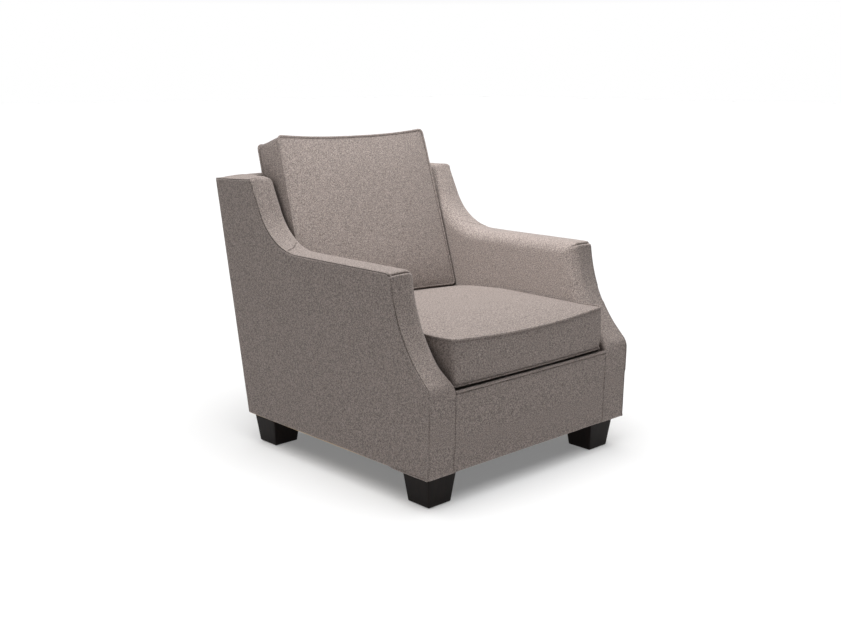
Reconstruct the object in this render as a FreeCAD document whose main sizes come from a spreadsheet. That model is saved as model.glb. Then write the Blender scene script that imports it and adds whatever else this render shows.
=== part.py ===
"""Upholstered armchair with a loose seat cushion and a loose back cushion.

Millimetres. The origin is on the floor under the middle of the chair. The front is -Y and up is +Z.
"""

import FreeCAD, Part
import math
import os
from types import SimpleNamespace

import Sketcher

document = FreeCAD.newDocument("upholstered_armchair")

DRIVING_DIMENSIONS = {
    # outline of an arm, seen from the side
    "chair_width": 840,
    "upholstery_bottom": 97,
    "front_bottom_y": -480,
    "knee_y": -485.4,
    "knee_z": 338,
    "knee_radius": 45,
    "sweep_y": -355,
    "sweep_z": 468,
    "sweep_radius": 400,
    "arm_front_y": -334,
    "arm_top_z": 632,
    "arm_front_radius": 20,
    "scoop_y": 199,
    "scoop_radius": 200,
    "wing_front_y": 299,
    "wing_front_z": 835,
    "wing_front_radius": 12,
    "wing_rear_y": 485,
    "wing_rear_z": 827,
    "back_bottom_y": 346,
    # layers of an arm, from the outside in
    "cover_thickness": 3,
    "panel_thickness": 18,
    "post_thickness": 32,
    "lining_thickness": 9,
    "arm_pad_thickness": 36,
    "band_thickness": 10,
    # back
    "back_cover_thickness": 4,
    "inside_back_low_y": 242,
    "inside_back_low_z": 326,
    "inside_back_high_y": 406,
    "inside_back_high_z": 834,
    "back_pad_thickness": 30,
    "webbing_gap": 4,
    "webbing_thickness": 2,
    "webbing_width": 50,
    "back_rail_depth": 32,
    "back_rail_height": 50,
    "bottom_rail_z": 332,
    "top_rail_z": 764,
    "back_top_crown": 842,
    # seat frame and springs
    "rail_thickness": 32,
    "rail_bottom": 98,
    "rail_top": 297,
    "front_rail_y": -470,
    "rear_rail_y": 306,
    "block_size": 80,
    "block_height": 50,
    "screw_radius": 2,
    "screw_head_radius": 4,
    "screw_length": 60,
    "spring_z": 301,
    "spring_wire_radius": 2,
    "spring_bar": 28,
    "spring_spacing": 120,
    "clip_width": 14,
    "clip_depth": 12,
    "clip_height": 8,
    "tie_radius": 1.4,
    "deck_bottom": 306,
    "deck_top": 324,
    "border_top": 318,
    "rail_welt_radius": 3,
    "clearance": 0.5,
    # feet
    "foot_height": 97,
    "foot_top": 106,
    "foot_bottom": 82.6,
    "foot_centre_x": 343.8,
    "front_foot_y": -407,
    "rear_foot_y": 292,
    "glide_radius": 12,
    "glide_thickness": 2,
    "glide_pin_radius": 1.5,
    "glide_pin_length": 12,
    "bolt_radius": 4,
    "bolt_depth": 40,
    "nut_radius": 6,
    "nut_flange_radius": 11,
    "nut_length": 10,
    "nut_flange": 2,
    # seat cushion
    "seat_half_width": 314.5,
    "seat_front_y": -475,
    "seat_rear_y": 235,
    "seat_bottom": 328,
    "seat_front_top": 446,
    "seat_rear_top": 434,
    "seat_crown": 474,
    "seat_crown_front_y": -330,
    "seat_crown_rear_y": -150,
    "seat_crown_half_width": 150,
    "seat_front_radius": 35,
    "seat_rear_radius": 15,
    "cover_wall": 2.5,
    "welt_radius": 2.75,
    # back cushion
    "back_rake": 17.1,
    "back_cushion_y": 162,
    "back_cushion_z": 452,
    "back_cushion_length": 528,
    "back_cushion_thickness": 115,
    "back_half_width_low": 314,
    "back_half_width_high": 299,
    "back_corner_radius": 14,
    # zippers
    "zipper_half_length": 280,
    "zipper_slot": 24,
    "zipper_tape_thickness": 1.2,
    "zipper_tooth_width": 3,
    "zipper_tooth_height": 1.6,
    "seat_zipper_z": 392,
    "back_zipper_y": 224,
    "slider_width": 9,
    "slider_length": 11,
    "slider_height": 3.8,
    "pull_width": 8,
    "pull_length": 24,
    "pull_thickness": 1.2,
}

sheet = document.addObject("Spreadsheet::Sheet", "Sizes")
for row, (alias, number) in enumerate(DRIVING_DIMENSIONS.items(), start=1):
    sheet.set(f"A{row}", alias.replace("_", " "))
    sheet.set(f"B{row}", str(number))
    sheet.setAlias(f"B{row}", alias)
document.recompute()


class Size:
    """A length kept both as a number and as the expression on the sheet that gives it."""

    def __init__(self, number, text):
        self.number = float(number)
        self.text = text

    def __add__(self, other):
        other = as_size(other)
        return Size(self.number + other.number, f"({self.text} + {other.text})")

    def __sub__(self, other):
        other = as_size(other)
        return Size(self.number - other.number, f"({self.text} - {other.text})")

    def __mul__(self, factor):
        return Size(self.number * factor, f"({self.text} * ({factor:.6f}))")

    def __truediv__(self, divisor):
        return self * (1 / divisor)

    def __neg__(self):
        return self * -1


def as_size(value):
    """A Size as it is, or a plain number as a Size."""
    return value if isinstance(value, Size) else Size(value, f"({value:.6f})")


size = SimpleNamespace(**{alias: Size(sheet.get(alias), f"Sizes.{alias}") for alias in DRIVING_DIMENSIONS})

NODES = []


def keep(item, label):
    """Names a finished sub-part, which is exported under its label."""
    item.Label = label
    NODES.append(item)
    return item


# ---------------------------------------------------------------- sketches


def new_sketch(body, plane, offset=0):
    """A sketch on one of the body's own origin planes, moved along its normal."""
    sketch = body.newObject("Sketcher::SketchObject", "Sketch")
    origin_plane = next(f for f in body.Origin.OriginFeatures if f.Role == plane)
    sketch.AttachmentSupport = (origin_plane, [""])
    sketch.MapMode = "FlatFace"
    sketch.setExpression("AttachmentOffset.Base.z", as_size(offset).text)
    return sketch


def pin_point(sketch, geometry, vertex, across, along):
    """Ties a point of a sketch to two sizes from the sketch's origin."""
    for kind, axis, value in (("DistanceX", -2, as_size(across)), ("DistanceY", -1, as_size(along))):
        if abs(value.number) < 1e-9:
            sketch.addConstraint(Sketcher.Constraint("PointOnObject", geometry, vertex, axis))
            continue
        ends = (-1, 1, geometry, vertex) if value.number > 0 else (geometry, vertex, -1, 1)
        index = sketch.addConstraint(Sketcher.Constraint(kind, *ends, abs(value.number)))
        sketch.setExpression(f"Constraints[{index}]", value.text if value.number > 0 else (-value).text)


def draw_circle(sketch, across, along, radius):
    """A circle whose centre and radius follow the sheet."""
    centre = FreeCAD.Vector(as_size(across).number, as_size(along).number, 0)
    circle = sketch.addGeometry(Part.Circle(centre, FreeCAD.Vector(0, 0, 1), radius.number))
    pin_point(sketch, circle, 3, across, along)
    index = sketch.addConstraint(Sketcher.Constraint("Radius", circle, radius.number))
    sketch.setExpression(f"Constraints[{index}]", radius.text)


def draw_outline(sketch, corners):
    """A closed outline through (across, along[, radius]) corners, tied to the sheet at each corner."""
    count = len(corners)
    points = [FreeCAD.Vector(as_size(c[0]).number, as_size(c[1]).number, 0) for c in corners]
    radii = [c[2] if len(c) > 2 else None for c in corners]
    enter, leave, centres = [], [], []
    for i, point in enumerate(points):
        back = (points[i - 1] - point).normalize()
        ahead = (points[(i + 1) % count] - point).normalize()
        half = back.getAngle(ahead) / 2
        reach = radii[i].number / math.tan(half) if radii[i] else 0
        enter.append(point + back * reach)
        leave.append(point + ahead * reach)
        centres.append(point + (back + ahead).normalize() * (reach / math.cos(half)) if radii[i] else None)
    for i in range(count):
        sketch.addGeometry(Part.LineSegment(leave[i], enter[(i + 1) % count]))
    for i, corner in enumerate(corners):
        before = (i - 1) % count
        if not radii[i]:
            sketch.addConstraint(Sketcher.Constraint("Coincident", before, 2, i, 1))
            pin_point(sketch, i, 1, corner[0], corner[1])
            continue
        first = enter[i] - centres[i]
        last = leave[i] - centres[i]
        turns_left = first.cross(last).z > 0
        start, end = (first, last) if turns_left else (last, first)
        circle = Part.Circle(centres[i], FreeCAD.Vector(0, 0, 1), radii[i].number)
        arc = Part.ArcOfCircle(circle, math.atan2(start.y, start.x), math.atan2(end.y, end.x))
        arc_index = sketch.addGeometry(arc)
        corner_point = sketch.addGeometry(Part.Point(points[i]), True)
        start_side, end_side = (1, 2) if turns_left else (2, 1)
        sketch.addConstraint(Sketcher.Constraint("Tangent", before, 2, arc_index, start_side))
        sketch.addConstraint(Sketcher.Constraint("Tangent", i, 1, arc_index, end_side))
        sketch.addConstraint(Sketcher.Constraint("PointOnObject", corner_point, 1, before))
        sketch.addConstraint(Sketcher.Constraint("PointOnObject", corner_point, 1, i))
        pin_point(sketch, corner_point, 1, corner[0], corner[1])
        radius_index = sketch.addConstraint(Sketcher.Constraint("Radius", arc_index, radii[i].number))
        sketch.setExpression(f"Constraints[{radius_index}]", radii[i].text)


# ---------------------------------------------------------------- solids


def new_body():
    return document.addObject("PartDesign::Body", "Body")


def move(item, x=None, y=None, z=None):
    """Ties an object's place to the sheet."""
    for axis, value in (("x", x), ("y", y), ("z", z)):
        if value is not None:
            item.setExpression(f"Placement.Base.{axis}", as_size(value).text)
    return item


def prism(plane, corners, start, thickness):
    """A body padded from an outline, from start to start + thickness along the plane's normal."""
    body = new_body()
    sketch = new_sketch(body, plane, start)
    draw_outline(sketch, corners)
    pad = body.newObject("PartDesign::Pad", "Pad")
    pad.Profile = sketch
    pad.setExpression("Length", as_size(thickness).text)
    body.Tip = pad
    document.recompute()
    return body


def side_prism(corners, low_x, high_x):
    """A side outline of (y, z) corners, stretched from low_x to high_x."""
    return prism("YZ_Plane", corners, low_x, as_size(high_x) - low_x)


def box(low, high):
    """A box between two corners."""
    item = document.addObject("Part::Box", "Box")
    for axis, side, start, end in zip("xyz", ("Length", "Width", "Height"), low, high):
        item.setExpression(side, (as_size(end) - start).text)
        item.setExpression(f"Placement.Base.{axis}", as_size(start).text)
    return item


AXIS_TURNS = {
    "x": FreeCAD.Rotation(FreeCAD.Vector(0, 1, 0), 90),
    "y": FreeCAD.Rotation(FreeCAD.Vector(1, 0, 0), -90),
    "z": FreeCAD.Rotation(),
    "-x": FreeCAD.Rotation(FreeCAD.Vector(0, 1, 0), -90),
    "-y": FreeCAD.Rotation(FreeCAD.Vector(1, 0, 0), 90),
}


def rod(start, axis, radius, length):
    """A cylinder that starts at a point and runs along an axis."""
    item = document.addObject("Part::Cylinder", "Rod")
    item.setExpression("Radius", as_size(radius).text)
    item.setExpression("Height", as_size(length).text)
    item.Placement = FreeCAD.Placement(FreeCAD.Vector(), AXIS_TURNS[axis])
    return move(item, *start)


def cut(base, *tools):
    item = document.addObject("Part::Cut", "Cut")
    item.Base = base
    item.Tool = tools[0] if len(tools) == 1 else group(*tools)
    return item


def fuse(*shapes):
    item = document.addObject("Part::MultiFuse", "Fuse")
    item.Shapes = list(shapes)
    return item


def common(*shapes):
    item = document.addObject("Part::MultiCommon", "Common")
    item.Shapes = list(shapes)
    return item


def group(*shapes):
    """Separate solids that share one node."""
    item = document.addObject("Part::Compound", "Group")
    item.Links = list(shapes)
    return item


def pipe(body, spine, profile):
    """A round bar swept along a sketch of its own body."""
    sweep = body.newObject("PartDesign::AdditivePipe", "Pipe")
    sweep.Profile = profile
    sweep.Spine = (spine, [])
    body.Tip = sweep
    document.recompute()
    return body


# ---------------------------------------------------------------- side outline

half_width = size.chair_width / 2
cover_inner_x = half_width - size.cover_thickness
panel_inner_x = cover_inner_x - size.panel_thickness
post_inner_x = panel_inner_x - size.post_thickness
lining_inner_x = post_inner_x - size.lining_thickness
arm_face_x = lining_inner_x - size.arm_pad_thickness

ARM_OUTLINE = [
    (size.front_bottom_y, size.upholstery_bottom),
    (size.knee_y, size.knee_z, size.knee_radius),
    (size.sweep_y, size.sweep_z, size.sweep_radius),
    (size.arm_front_y, size.arm_top_z, size.arm_front_radius),
    (size.scoop_y, size.arm_top_z, size.scoop_radius),
    (size.wing_front_y, size.wing_front_z, size.wing_front_radius),
    (size.wing_rear_y, size.wing_rear_z),
    (size.back_bottom_y, size.upholstery_bottom),
]


def inset(corners, amounts):
    """Moves each edge of an outline inwards; amounts[i] belongs to the edge that leaves corner i."""
    count = len(corners)
    points = [(as_size(c[0]).number, as_size(c[1]).number) for c in corners]
    area = sum(points[i - 1][0] * points[i][1] - points[i][0] * points[i - 1][1] for i in range(count))
    side = 1 if area > 0 else -1
    normals = []
    for (x0, y0), (x1, y1) in zip(points, points[1:] + points[:1]):
        run = math.hypot(x1 - x0, y1 - y0)
        normals.append((-(y1 - y0) / run * side, (x1 - x0) / run * side))
    moved = []
    for i, corner in enumerate(corners):
        before, after = normals[i - 1], normals[i]
        spread = before[0] * after[1] - before[1] * after[0]
        first, second = as_size(amounts[i - 1]), as_size(amounts[i])
        across = first * (after[1] / spread) - second * (before[1] / spread)
        along = second * (before[0] / spread) - first * (after[0] / spread)
        radius = corner[2] if len(corner) > 2 else None
        if radius:
            is_hollow = spread * side < 0
            radius = radius + first if is_hollow else radius - first
        shifted = (as_size(corner[0]) + across, as_size(corner[1]) + along)
        moved.append(shifted + ((radius,) if radius and radius.number > 0.5 else ()))
    return moved


def at_height(low, high, height):
    """The point at a height on the straight edge through two corners."""
    share = (height.number - as_size(low[1]).number) / (as_size(high[1]).number - as_size(low[1]).number)
    return (as_size(low[0]) * (1 - share) + as_size(high[0]) * share, height)


def both_sides(label, make, low_x, high_x):
    """The same piece on the left (-X) and on the right (+X)."""
    keep(make(-high_x, -low_x), f"{label}_left")
    keep(make(low_x, high_x), f"{label}_right")


COVERED_EDGES = [size.band_thickness] * 6
PLAIN_EDGES = [0] * 6
FRAME_OUTLINE = inset(ARM_OUTLINE, COVERED_EDGES + [size.back_cover_thickness, 1])
BAND_OUTSIDE = inset(ARM_OUTLINE, PLAIN_EDGES + [size.back_cover_thickness, 0])
BAND_INSIDE = inset(ARM_OUTLINE, COVERED_EDGES + [size.back_cover_thickness, 0])

INSIDE_BACK_SLOPE = (size.inside_back_high_y.number - size.inside_back_low_y.number) / (
    size.inside_back_high_z.number - size.inside_back_low_z.number
)


def behind_inside_back(height, distance):
    """The point at a height, some distance behind the inside of the back."""
    y = size.inside_back_low_y + (as_size(height) - size.inside_back_low_z) * INSIDE_BACK_SLOPE
    return (y + distance, as_size(height))


def before_outside_back(height):
    """The point at a height on the inner face of the outside back cover."""
    return at_height(FRAME_OUTLINE[7], FRAME_OUTLINE[6], as_size(height))


# ---------------------------------------------------------------- arms

RAIL_TO_PAD = 2
WING_PAD_RISE = 2
frame_front = size.back_pad_thickness + size.webbing_gap
pad_bottom = size.rail_top + RAIL_TO_PAD
wing_end = behind_inside_back(size.wing_rear_z + WING_PAD_RISE, frame_front)
ARM_PAD_OUTLINE = inset(
    [at_height(ARM_OUTLINE[0], ARM_OUTLINE[1], pad_bottom)]
    + ARM_OUTLINE[1:6]
    + [wing_end, behind_inside_back(pad_bottom, frame_front)],
    COVERED_EDGES + [0, 0],
)
BAND_OUTLINE = BAND_OUTSIDE[:7] + BAND_INSIDE[6::-1]

both_sides("outside_arm_cover", lambda a, b: side_prism(ARM_OUTLINE, a, b), cover_inner_x, half_width)
both_sides("outer_arm_panel", lambda a, b: side_prism(FRAME_OUTLINE, a, b), panel_inner_x, cover_inner_x)
both_sides("inner_arm_panel", lambda a, b: side_prism(ARM_PAD_OUTLINE, a, b), lining_inner_x, post_inner_x)
both_sides("inside_arm_pad", lambda a, b: side_prism(ARM_PAD_OUTLINE, a, b), arm_face_x, lining_inner_x)
both_sides("arm_band", lambda a, b: side_prism(BAND_OUTLINE, a, b), arm_face_x, cover_inner_x)

TOP_RAIL_HEIGHT = 40
POST_DEPTH = 60
POST_FRONT_RADIUS = 300
POST_REAR_RADIUS = 260
TOP_RAIL_SET_BACK = 8
top_rail_top = size.arm_top_z - size.band_thickness
top_rail_bottom = top_rail_top - TOP_RAIL_HEIGHT
post_foot = at_height(FRAME_OUTLINE[0], FRAME_OUTLINE[1], size.rail_top)
post_head = at_height(FRAME_OUTLINE[2], FRAME_OUTLINE[3], top_rail_bottom)
knee, sweep = FRAME_OUTLINE[1], FRAME_OUTLINE[2]
FRONT_POST_OUTLINE = [
    post_foot,
    knee,
    (sweep[0], sweep[1], as_size(POST_FRONT_RADIUS)),
    post_head,
    (post_head[0] + POST_DEPTH, post_head[1]),
    (sweep[0] + POST_DEPTH, sweep[1], as_size(POST_REAR_RADIUS)),
    (knee[0] + POST_DEPTH, knee[1]),
    (post_foot[0] + POST_DEPTH, post_foot[1]),
]
top_rail_front = size.arm_front_y + size.band_thickness + TOP_RAIL_SET_BACK
ARM_TOP_RAIL_OUTLINE = [
    (top_rail_front, top_rail_bottom),
    (top_rail_front, top_rail_top),
    behind_inside_back(top_rail_top, frame_front),
    behind_inside_back(top_rail_bottom, frame_front),
]
post_top = size.top_rail_z + size.back_rail_height
BACK_POST_OUTLINE = [
    behind_inside_back(size.rail_top, frame_front),
    behind_inside_back(post_top, frame_front),
    before_outside_back(post_top),
    before_outside_back(size.rail_top),
]
both_sides("arm_front_post", lambda a, b: side_prism(FRONT_POST_OUTLINE, a, b), post_inner_x, panel_inner_x)
both_sides("arm_top_rail", lambda a, b: side_prism(ARM_TOP_RAIL_OUTLINE, a, b), post_inner_x, panel_inner_x)
both_sides("back_post", lambda a, b: side_prism(BACK_POST_OUTLINE, a, b), post_inner_x, panel_inner_x)

# ---------------------------------------------------------------- back


def back_slab(low_z, high_z, near, far, half_length):
    """A slab that leans with the inside of the back, between two distances behind it."""
    corners = [
        behind_inside_back(low_z, near),
        behind_inside_back(high_z, near),
        behind_inside_back(high_z, far),
        behind_inside_back(low_z, far),
    ]
    return side_prism(corners, -half_length, half_length)


rail_back = frame_front + size.back_rail_depth
keep(back_slab(size.top_rail_z, post_top, frame_front, rail_back, post_inner_x), "back_top_rail")
bottom_rail_top = size.bottom_rail_z + size.back_rail_height
bottom_rail = back_slab(size.bottom_rail_z, bottom_rail_top, frame_front, rail_back, post_inner_x)
keep(bottom_rail, "back_bottom_rail")

STRAP_SPACING = 140
STRAP_COUNT = 4
STRAP_END_GAP = 8
strap_front = frame_front - size.webbing_thickness
straps = []
for number in range(STRAP_COUNT):
    strap_low = size.bottom_rail_z + STRAP_END_GAP
    strap_high = post_top - STRAP_END_GAP
    strap = back_slab(strap_low, strap_high, strap_front, frame_front, size.webbing_width / 2)
    straps.append(move(strap, x=(number - (STRAP_COUNT - 1) / 2) * STRAP_SPACING))
keep(group(*straps), "back_webbing")

POST_TO_TOP_PAD = 4
PAD_SEAM_GAP = 2
TOP_PAD_FALL = 4
top_pad_bottom = post_top + POST_TO_TOP_PAD
inside_pad_top = top_pad_bottom - PAD_SEAM_GAP
inside_pad = back_slab(size.inside_back_low_z, inside_pad_top, 0, size.back_pad_thickness, arm_face_x)
keep(inside_pad, "inside_back_pad")
TOP_PAD_OUTLINE = [
    behind_inside_back(top_pad_bottom, 0),
    behind_inside_back(size.back_top_crown, 0),
    before_outside_back(size.back_top_crown - TOP_PAD_FALL),
    before_outside_back(top_pad_bottom),
]
keep(side_prism(TOP_PAD_OUTLINE, -arm_face_x, arm_face_x), "back_top_pad")
OUTSIDE_BACK_OUTLINE = [ARM_OUTLINE[7], ARM_OUTLINE[6], BAND_OUTSIDE[6], BAND_OUTSIDE[7]]
keep(side_prism(OUTSIDE_BACK_OUTLINE, -cover_inner_x, cover_inner_x), "outside_back_cover")

# ---------------------------------------------------------------- seat frame

front_rail_back = size.front_rail_y + size.rail_thickness
rear_rail_back = size.rear_rail_y + size.rail_thickness
PRESS_FIT = 0.05
rail_hole = size.screw_radius + PRESS_FIT
block_top = size.rail_bottom + size.block_height
Y_SCREW_INSET = 62
X_SCREW_INSET = 63
Y_SCREW_HEIGHT = 14
X_SCREW_HEIGHT = 36
SCREW_HEAD_HEIGHT = 2.5
RAIL_BITE = 20

screws = []
screw_holes = []


def add_screw(start, axis):
    """A screw from a block's inner face into a rail, and the hole that it fills."""
    sign = -1 if axis.startswith("-") else 1
    head = dict(zip("xyz", start))
    head[axis[-1]] = head[axis[-1]] - sign * SCREW_HEAD_HEIGHT
    shank = rod(start, axis, size.screw_radius, size.block_size + RAIL_BITE)
    cap = rod(tuple(head.values()), axis, size.screw_head_radius, SCREW_HEAD_HEIGHT)
    screws.append(fuse(shank, cap))
    screw_holes.append(rod(start, axis, rail_hole, size.block_size + RAIL_BITE))


blocks = []
bolt_places = []
for side in (-1, 1):
    for foot_y, rail_face, inwards in (
        (size.front_foot_y, front_rail_back, 1),
        (size.rear_foot_y, size.rear_rail_y, -1),
    ):
        inner_x = post_inner_x - size.block_size
        inner_y = rail_face + size.block_size * inwards
        low_x, high_x = (inner_x, post_inner_x) if side > 0 else (-post_inner_x, -inner_x)
        low_y, high_y = (rail_face, inner_y) if inwards > 0 else (inner_y, rail_face)
        blocks.append(box((low_x, low_y, size.rail_bottom), (high_x, high_y, block_top)))
        bolt_places.append((size.foot_centre_x * side, foot_y))
        y_screw_x = (post_inner_x - Y_SCREW_INSET) * side
        add_screw((y_screw_x, inner_y, size.rail_bottom + Y_SCREW_HEIGHT), "-y" if inwards > 0 else "y")
        x_screw_y = rail_face + X_SCREW_INSET * inwards
        add_screw((inner_x * side, x_screw_y, size.rail_bottom + X_SCREW_HEIGHT), "x" if side > 0 else "-x")

nut_hole = size.nut_radius + PRESS_FIT
block_bores = [rod((x, y, size.rail_bottom), "z", nut_hole, size.block_height) for x, y in bolt_places]
keep(cut(group(*blocks), *block_bores, *screw_holes), "corner_blocks")
keep(group(*screws), "corner_block_screws")

all_holes = group(*screw_holes)
front_rail = box(
    (-panel_inner_x, size.front_rail_y, size.rail_bottom), (panel_inner_x, front_rail_back, size.rail_top)
)
keep(cut(front_rail, all_holes), "front_rail")
rear_rail = box(
    (-panel_inner_x, size.rear_rail_y, size.rail_bottom), (panel_inner_x, rear_rail_back, size.rail_top)
)
keep(cut(rear_rail, all_holes), "rear_rail")


def side_rail(low_x, high_x):
    rail = box((low_x, front_rail_back, size.rail_bottom), (high_x, size.rear_rail_y, size.rail_top))
    return cut(rail, all_holes)


both_sides("side_rail", side_rail, post_inner_x, panel_inner_x)

# ---------------------------------------------------------------- springs and deck

SPRING_COUNT = 5
SPRING_TURNS = 24
CLIP_CLEARANCE = 0.1
spring_front_y = size.front_rail_y + size.rail_thickness / 2
spring_rear_y = size.rear_rail_y + size.rail_thickness / 2
spring_pitch = (spring_rear_y - spring_front_y) / SPRING_TURNS


def draw_zigzag(sketch):
    """Straight bars joined by half turns, from the front rail to the rear rail."""
    half_bar = size.spring_bar.number / 2
    pitch = spring_pitch.number
    for turn in range(SPRING_TURNS + 1):
        y = spring_front_y.number + turn * pitch
        side = 1 if turn % 2 == 0 else -1
        sketch.addGeometry(
            Part.LineSegment(FreeCAD.Vector(-half_bar * side, y, 0), FreeCAD.Vector(half_bar * side, y, 0))
        )
        if turn < SPRING_TURNS:
            centre = FreeCAD.Vector(half_bar * side, y + pitch / 2, 0)
            circle = Part.Circle(centre, FreeCAD.Vector(0, 0, 1), pitch / 2)
            start = -math.pi / 2 if side > 0 else math.pi / 2
            sketch.addGeometry(Part.ArcOfCircle(circle, start, start + math.pi))


clips = []
for number in range(SPRING_COUNT):
    spring_x = size.spring_spacing * (number - (SPRING_COUNT - 1) / 2)
    spring = new_body()
    spine = new_sketch(spring, "XY_Plane", size.spring_z)
    draw_zigzag(spine)
    section = new_sketch(spring, "YZ_Plane", -size.spring_bar / 2)
    draw_circle(section, spring_front_y, size.spring_z, size.spring_wire_radius)
    keep(move(pipe(spring, spine, section), x=spring_x), f"seat_spring_{number + 1}")
    for clip_y in (spring_front_y, spring_rear_y):
        low = (spring_x - size.clip_width / 2, clip_y - size.clip_depth / 2, size.rail_top)
        high = (spring_x + size.clip_width / 2, clip_y + size.clip_depth / 2, size.rail_top + size.clip_height)
        bore_start = (spring_x - size.clip_width, clip_y, size.spring_z)
        bore = rod(bore_start, "x", size.spring_wire_radius + CLIP_CLEARANCE, size.clip_width * 2)
        clips.append(cut(box(low, high), bore))
keep(group(*clips), "spring_clips")

TIE_PLACES = (-190, 60)
TIE_HALF_LENGTH = 340
TIE_CLEARANCE = 0.2
tie_z = size.spring_z - size.spring_wire_radius - size.tie_radius - TIE_CLEARANCE
ties = [rod((-TIE_HALF_LENGTH, y, tie_z), "x", size.tie_radius, 2 * TIE_HALF_LENGTH) for y in TIE_PLACES]
keep(group(*ties), "spring_tie_wires")

DECK_SIDE_GAP = 1
DECK_REAR_GAP = 12
deck_half_width = arm_face_x - DECK_SIDE_GAP
deck_rear = behind_inside_back(size.deck_top, size.back_pad_thickness)[0] - DECK_REAR_GAP
deck_low = (-deck_half_width, size.front_rail_y, size.deck_bottom)
keep(box(deck_low, (deck_half_width, deck_rear, size.deck_top)), "deck_pad")

border_high = at_height(ARM_OUTLINE[0], ARM_OUTLINE[1], size.border_top)
BORDER_OUTLINE = [
    ARM_OUTLINE[0],
    border_high,
    (size.front_rail_y, size.border_top),
    (size.front_rail_y, size.upholstery_bottom),
]
keep(side_prism(BORDER_OUTLINE, -arm_face_x, arm_face_x), "front_border")
border_welt_place = (
    size.clearance - arm_face_x,
    border_high[0] + size.rail_welt_radius,
    size.border_top + size.rail_welt_radius,
)
border_welt = rod(border_welt_place, "x", size.rail_welt_radius, (arm_face_x - size.clearance) * 2)
keep(border_welt, "front_border_welt")

cloth_low = (-panel_inner_x, size.front_rail_y, size.upholstery_bottom)
cloth = box(cloth_low, (panel_inner_x, rear_rail_back, size.rail_bottom))
CLOTH_HOLE_CLEARANCE = 0.3
cloth_hole = size.bolt_radius + CLOTH_HOLE_CLEARANCE
cloth_holes = [rod((x, y, size.upholstery_bottom - 1), "z", cloth_hole, 4) for x, y in bolt_places]
keep(cut(cloth, *cloth_holes), "dust_cover")

# ---------------------------------------------------------------- feet

BOLT_PAST_NUT = 4
NUT_BORE_LENGTH = 40
bolt_bottom = size.foot_height - size.bolt_depth
bolt_length = size.bolt_depth + (block_top - size.foot_height) + BOLT_PAST_NUT
bolt_hole = size.bolt_radius + PRESS_FIT
FOOT_NAMES = ("foot_front_left", "foot_rear_left", "foot_front_right", "foot_rear_right")


def foot(x, y):
    """A square block that tapers towards the floor, bored for its bolt and its glide's pin."""
    body = new_body()
    sections = []
    for width, height in ((size.foot_bottom, size.glide_thickness), (size.foot_top, size.foot_height)):
        section = new_sketch(body, "XY_Plane", height)
        half = width / 2
        draw_outline(section, [(-half, -half), (half, -half), (half, half), (-half, half)])
        sections.append(section)
    loft = body.newObject("PartDesign::AdditiveLoft", "Loft")
    loft.Profile = sections[0]
    loft.Sections = [sections[1]]
    loft.Ruled = True
    body.Tip = loft
    move(body, x=x, y=y)
    pin_hole = rod((x, y, 0), "z", size.glide_pin_radius + PRESS_FIT, size.glide_pin_length + 3)
    return cut(body, rod((x, y, bolt_bottom), "z", bolt_hole, size.bolt_depth + 1), pin_hole)


bolts, nuts, glides = [], [], []
for name, (x, y) in zip(FOOT_NAMES, bolt_places):
    keep(foot(x, y), name)
    bolts.append(rod((x, y, bolt_bottom), "z", size.bolt_radius, bolt_length))
    barrel = rod((x, y, block_top - size.nut_length), "z", size.nut_radius, size.nut_length)
    flange = rod((x, y, block_top), "z", size.nut_flange_radius, size.nut_flange)
    nut_bore = rod((x, y, block_top - NUT_BORE_LENGTH / 2), "z", bolt_hole, NUT_BORE_LENGTH)
    nuts.append(cut(fuse(barrel, flange), nut_bore))
    disc = rod((x, y, 0), "z", size.glide_radius, size.glide_thickness)
    pin = rod((x, y, 0), "z", size.glide_pin_radius, size.glide_thickness + size.glide_pin_length)
    glides.append(fuse(disc, pin))
keep(group(*bolts), "foot_bolts")
keep(group(*nuts), "foot_nuts")
keep(group(*glides), "foot_glides")

# ---------------------------------------------------------------- seat cushion

X_AXIS = FreeCAD.Vector(1, 0, 0)
OVERRUN = 5
DEPTH_BELOW = 160
welt_offset = size.welt_radius + PRESS_FIT


def tilt(item, angle, y, z):
    """Leans an object back about a line across the chair."""
    item.Placement = FreeCAD.Placement(FreeCAD.Vector(), FreeCAD.Rotation(X_AXIS, -angle))
    return move(item, y=y, z=z)


seat_length = size.seat_rear_y - size.seat_front_y
seat_drop = size.seat_front_top.number - size.seat_rear_top.number
seat_fall = math.degrees(math.atan(seat_drop / seat_length.number))


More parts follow.
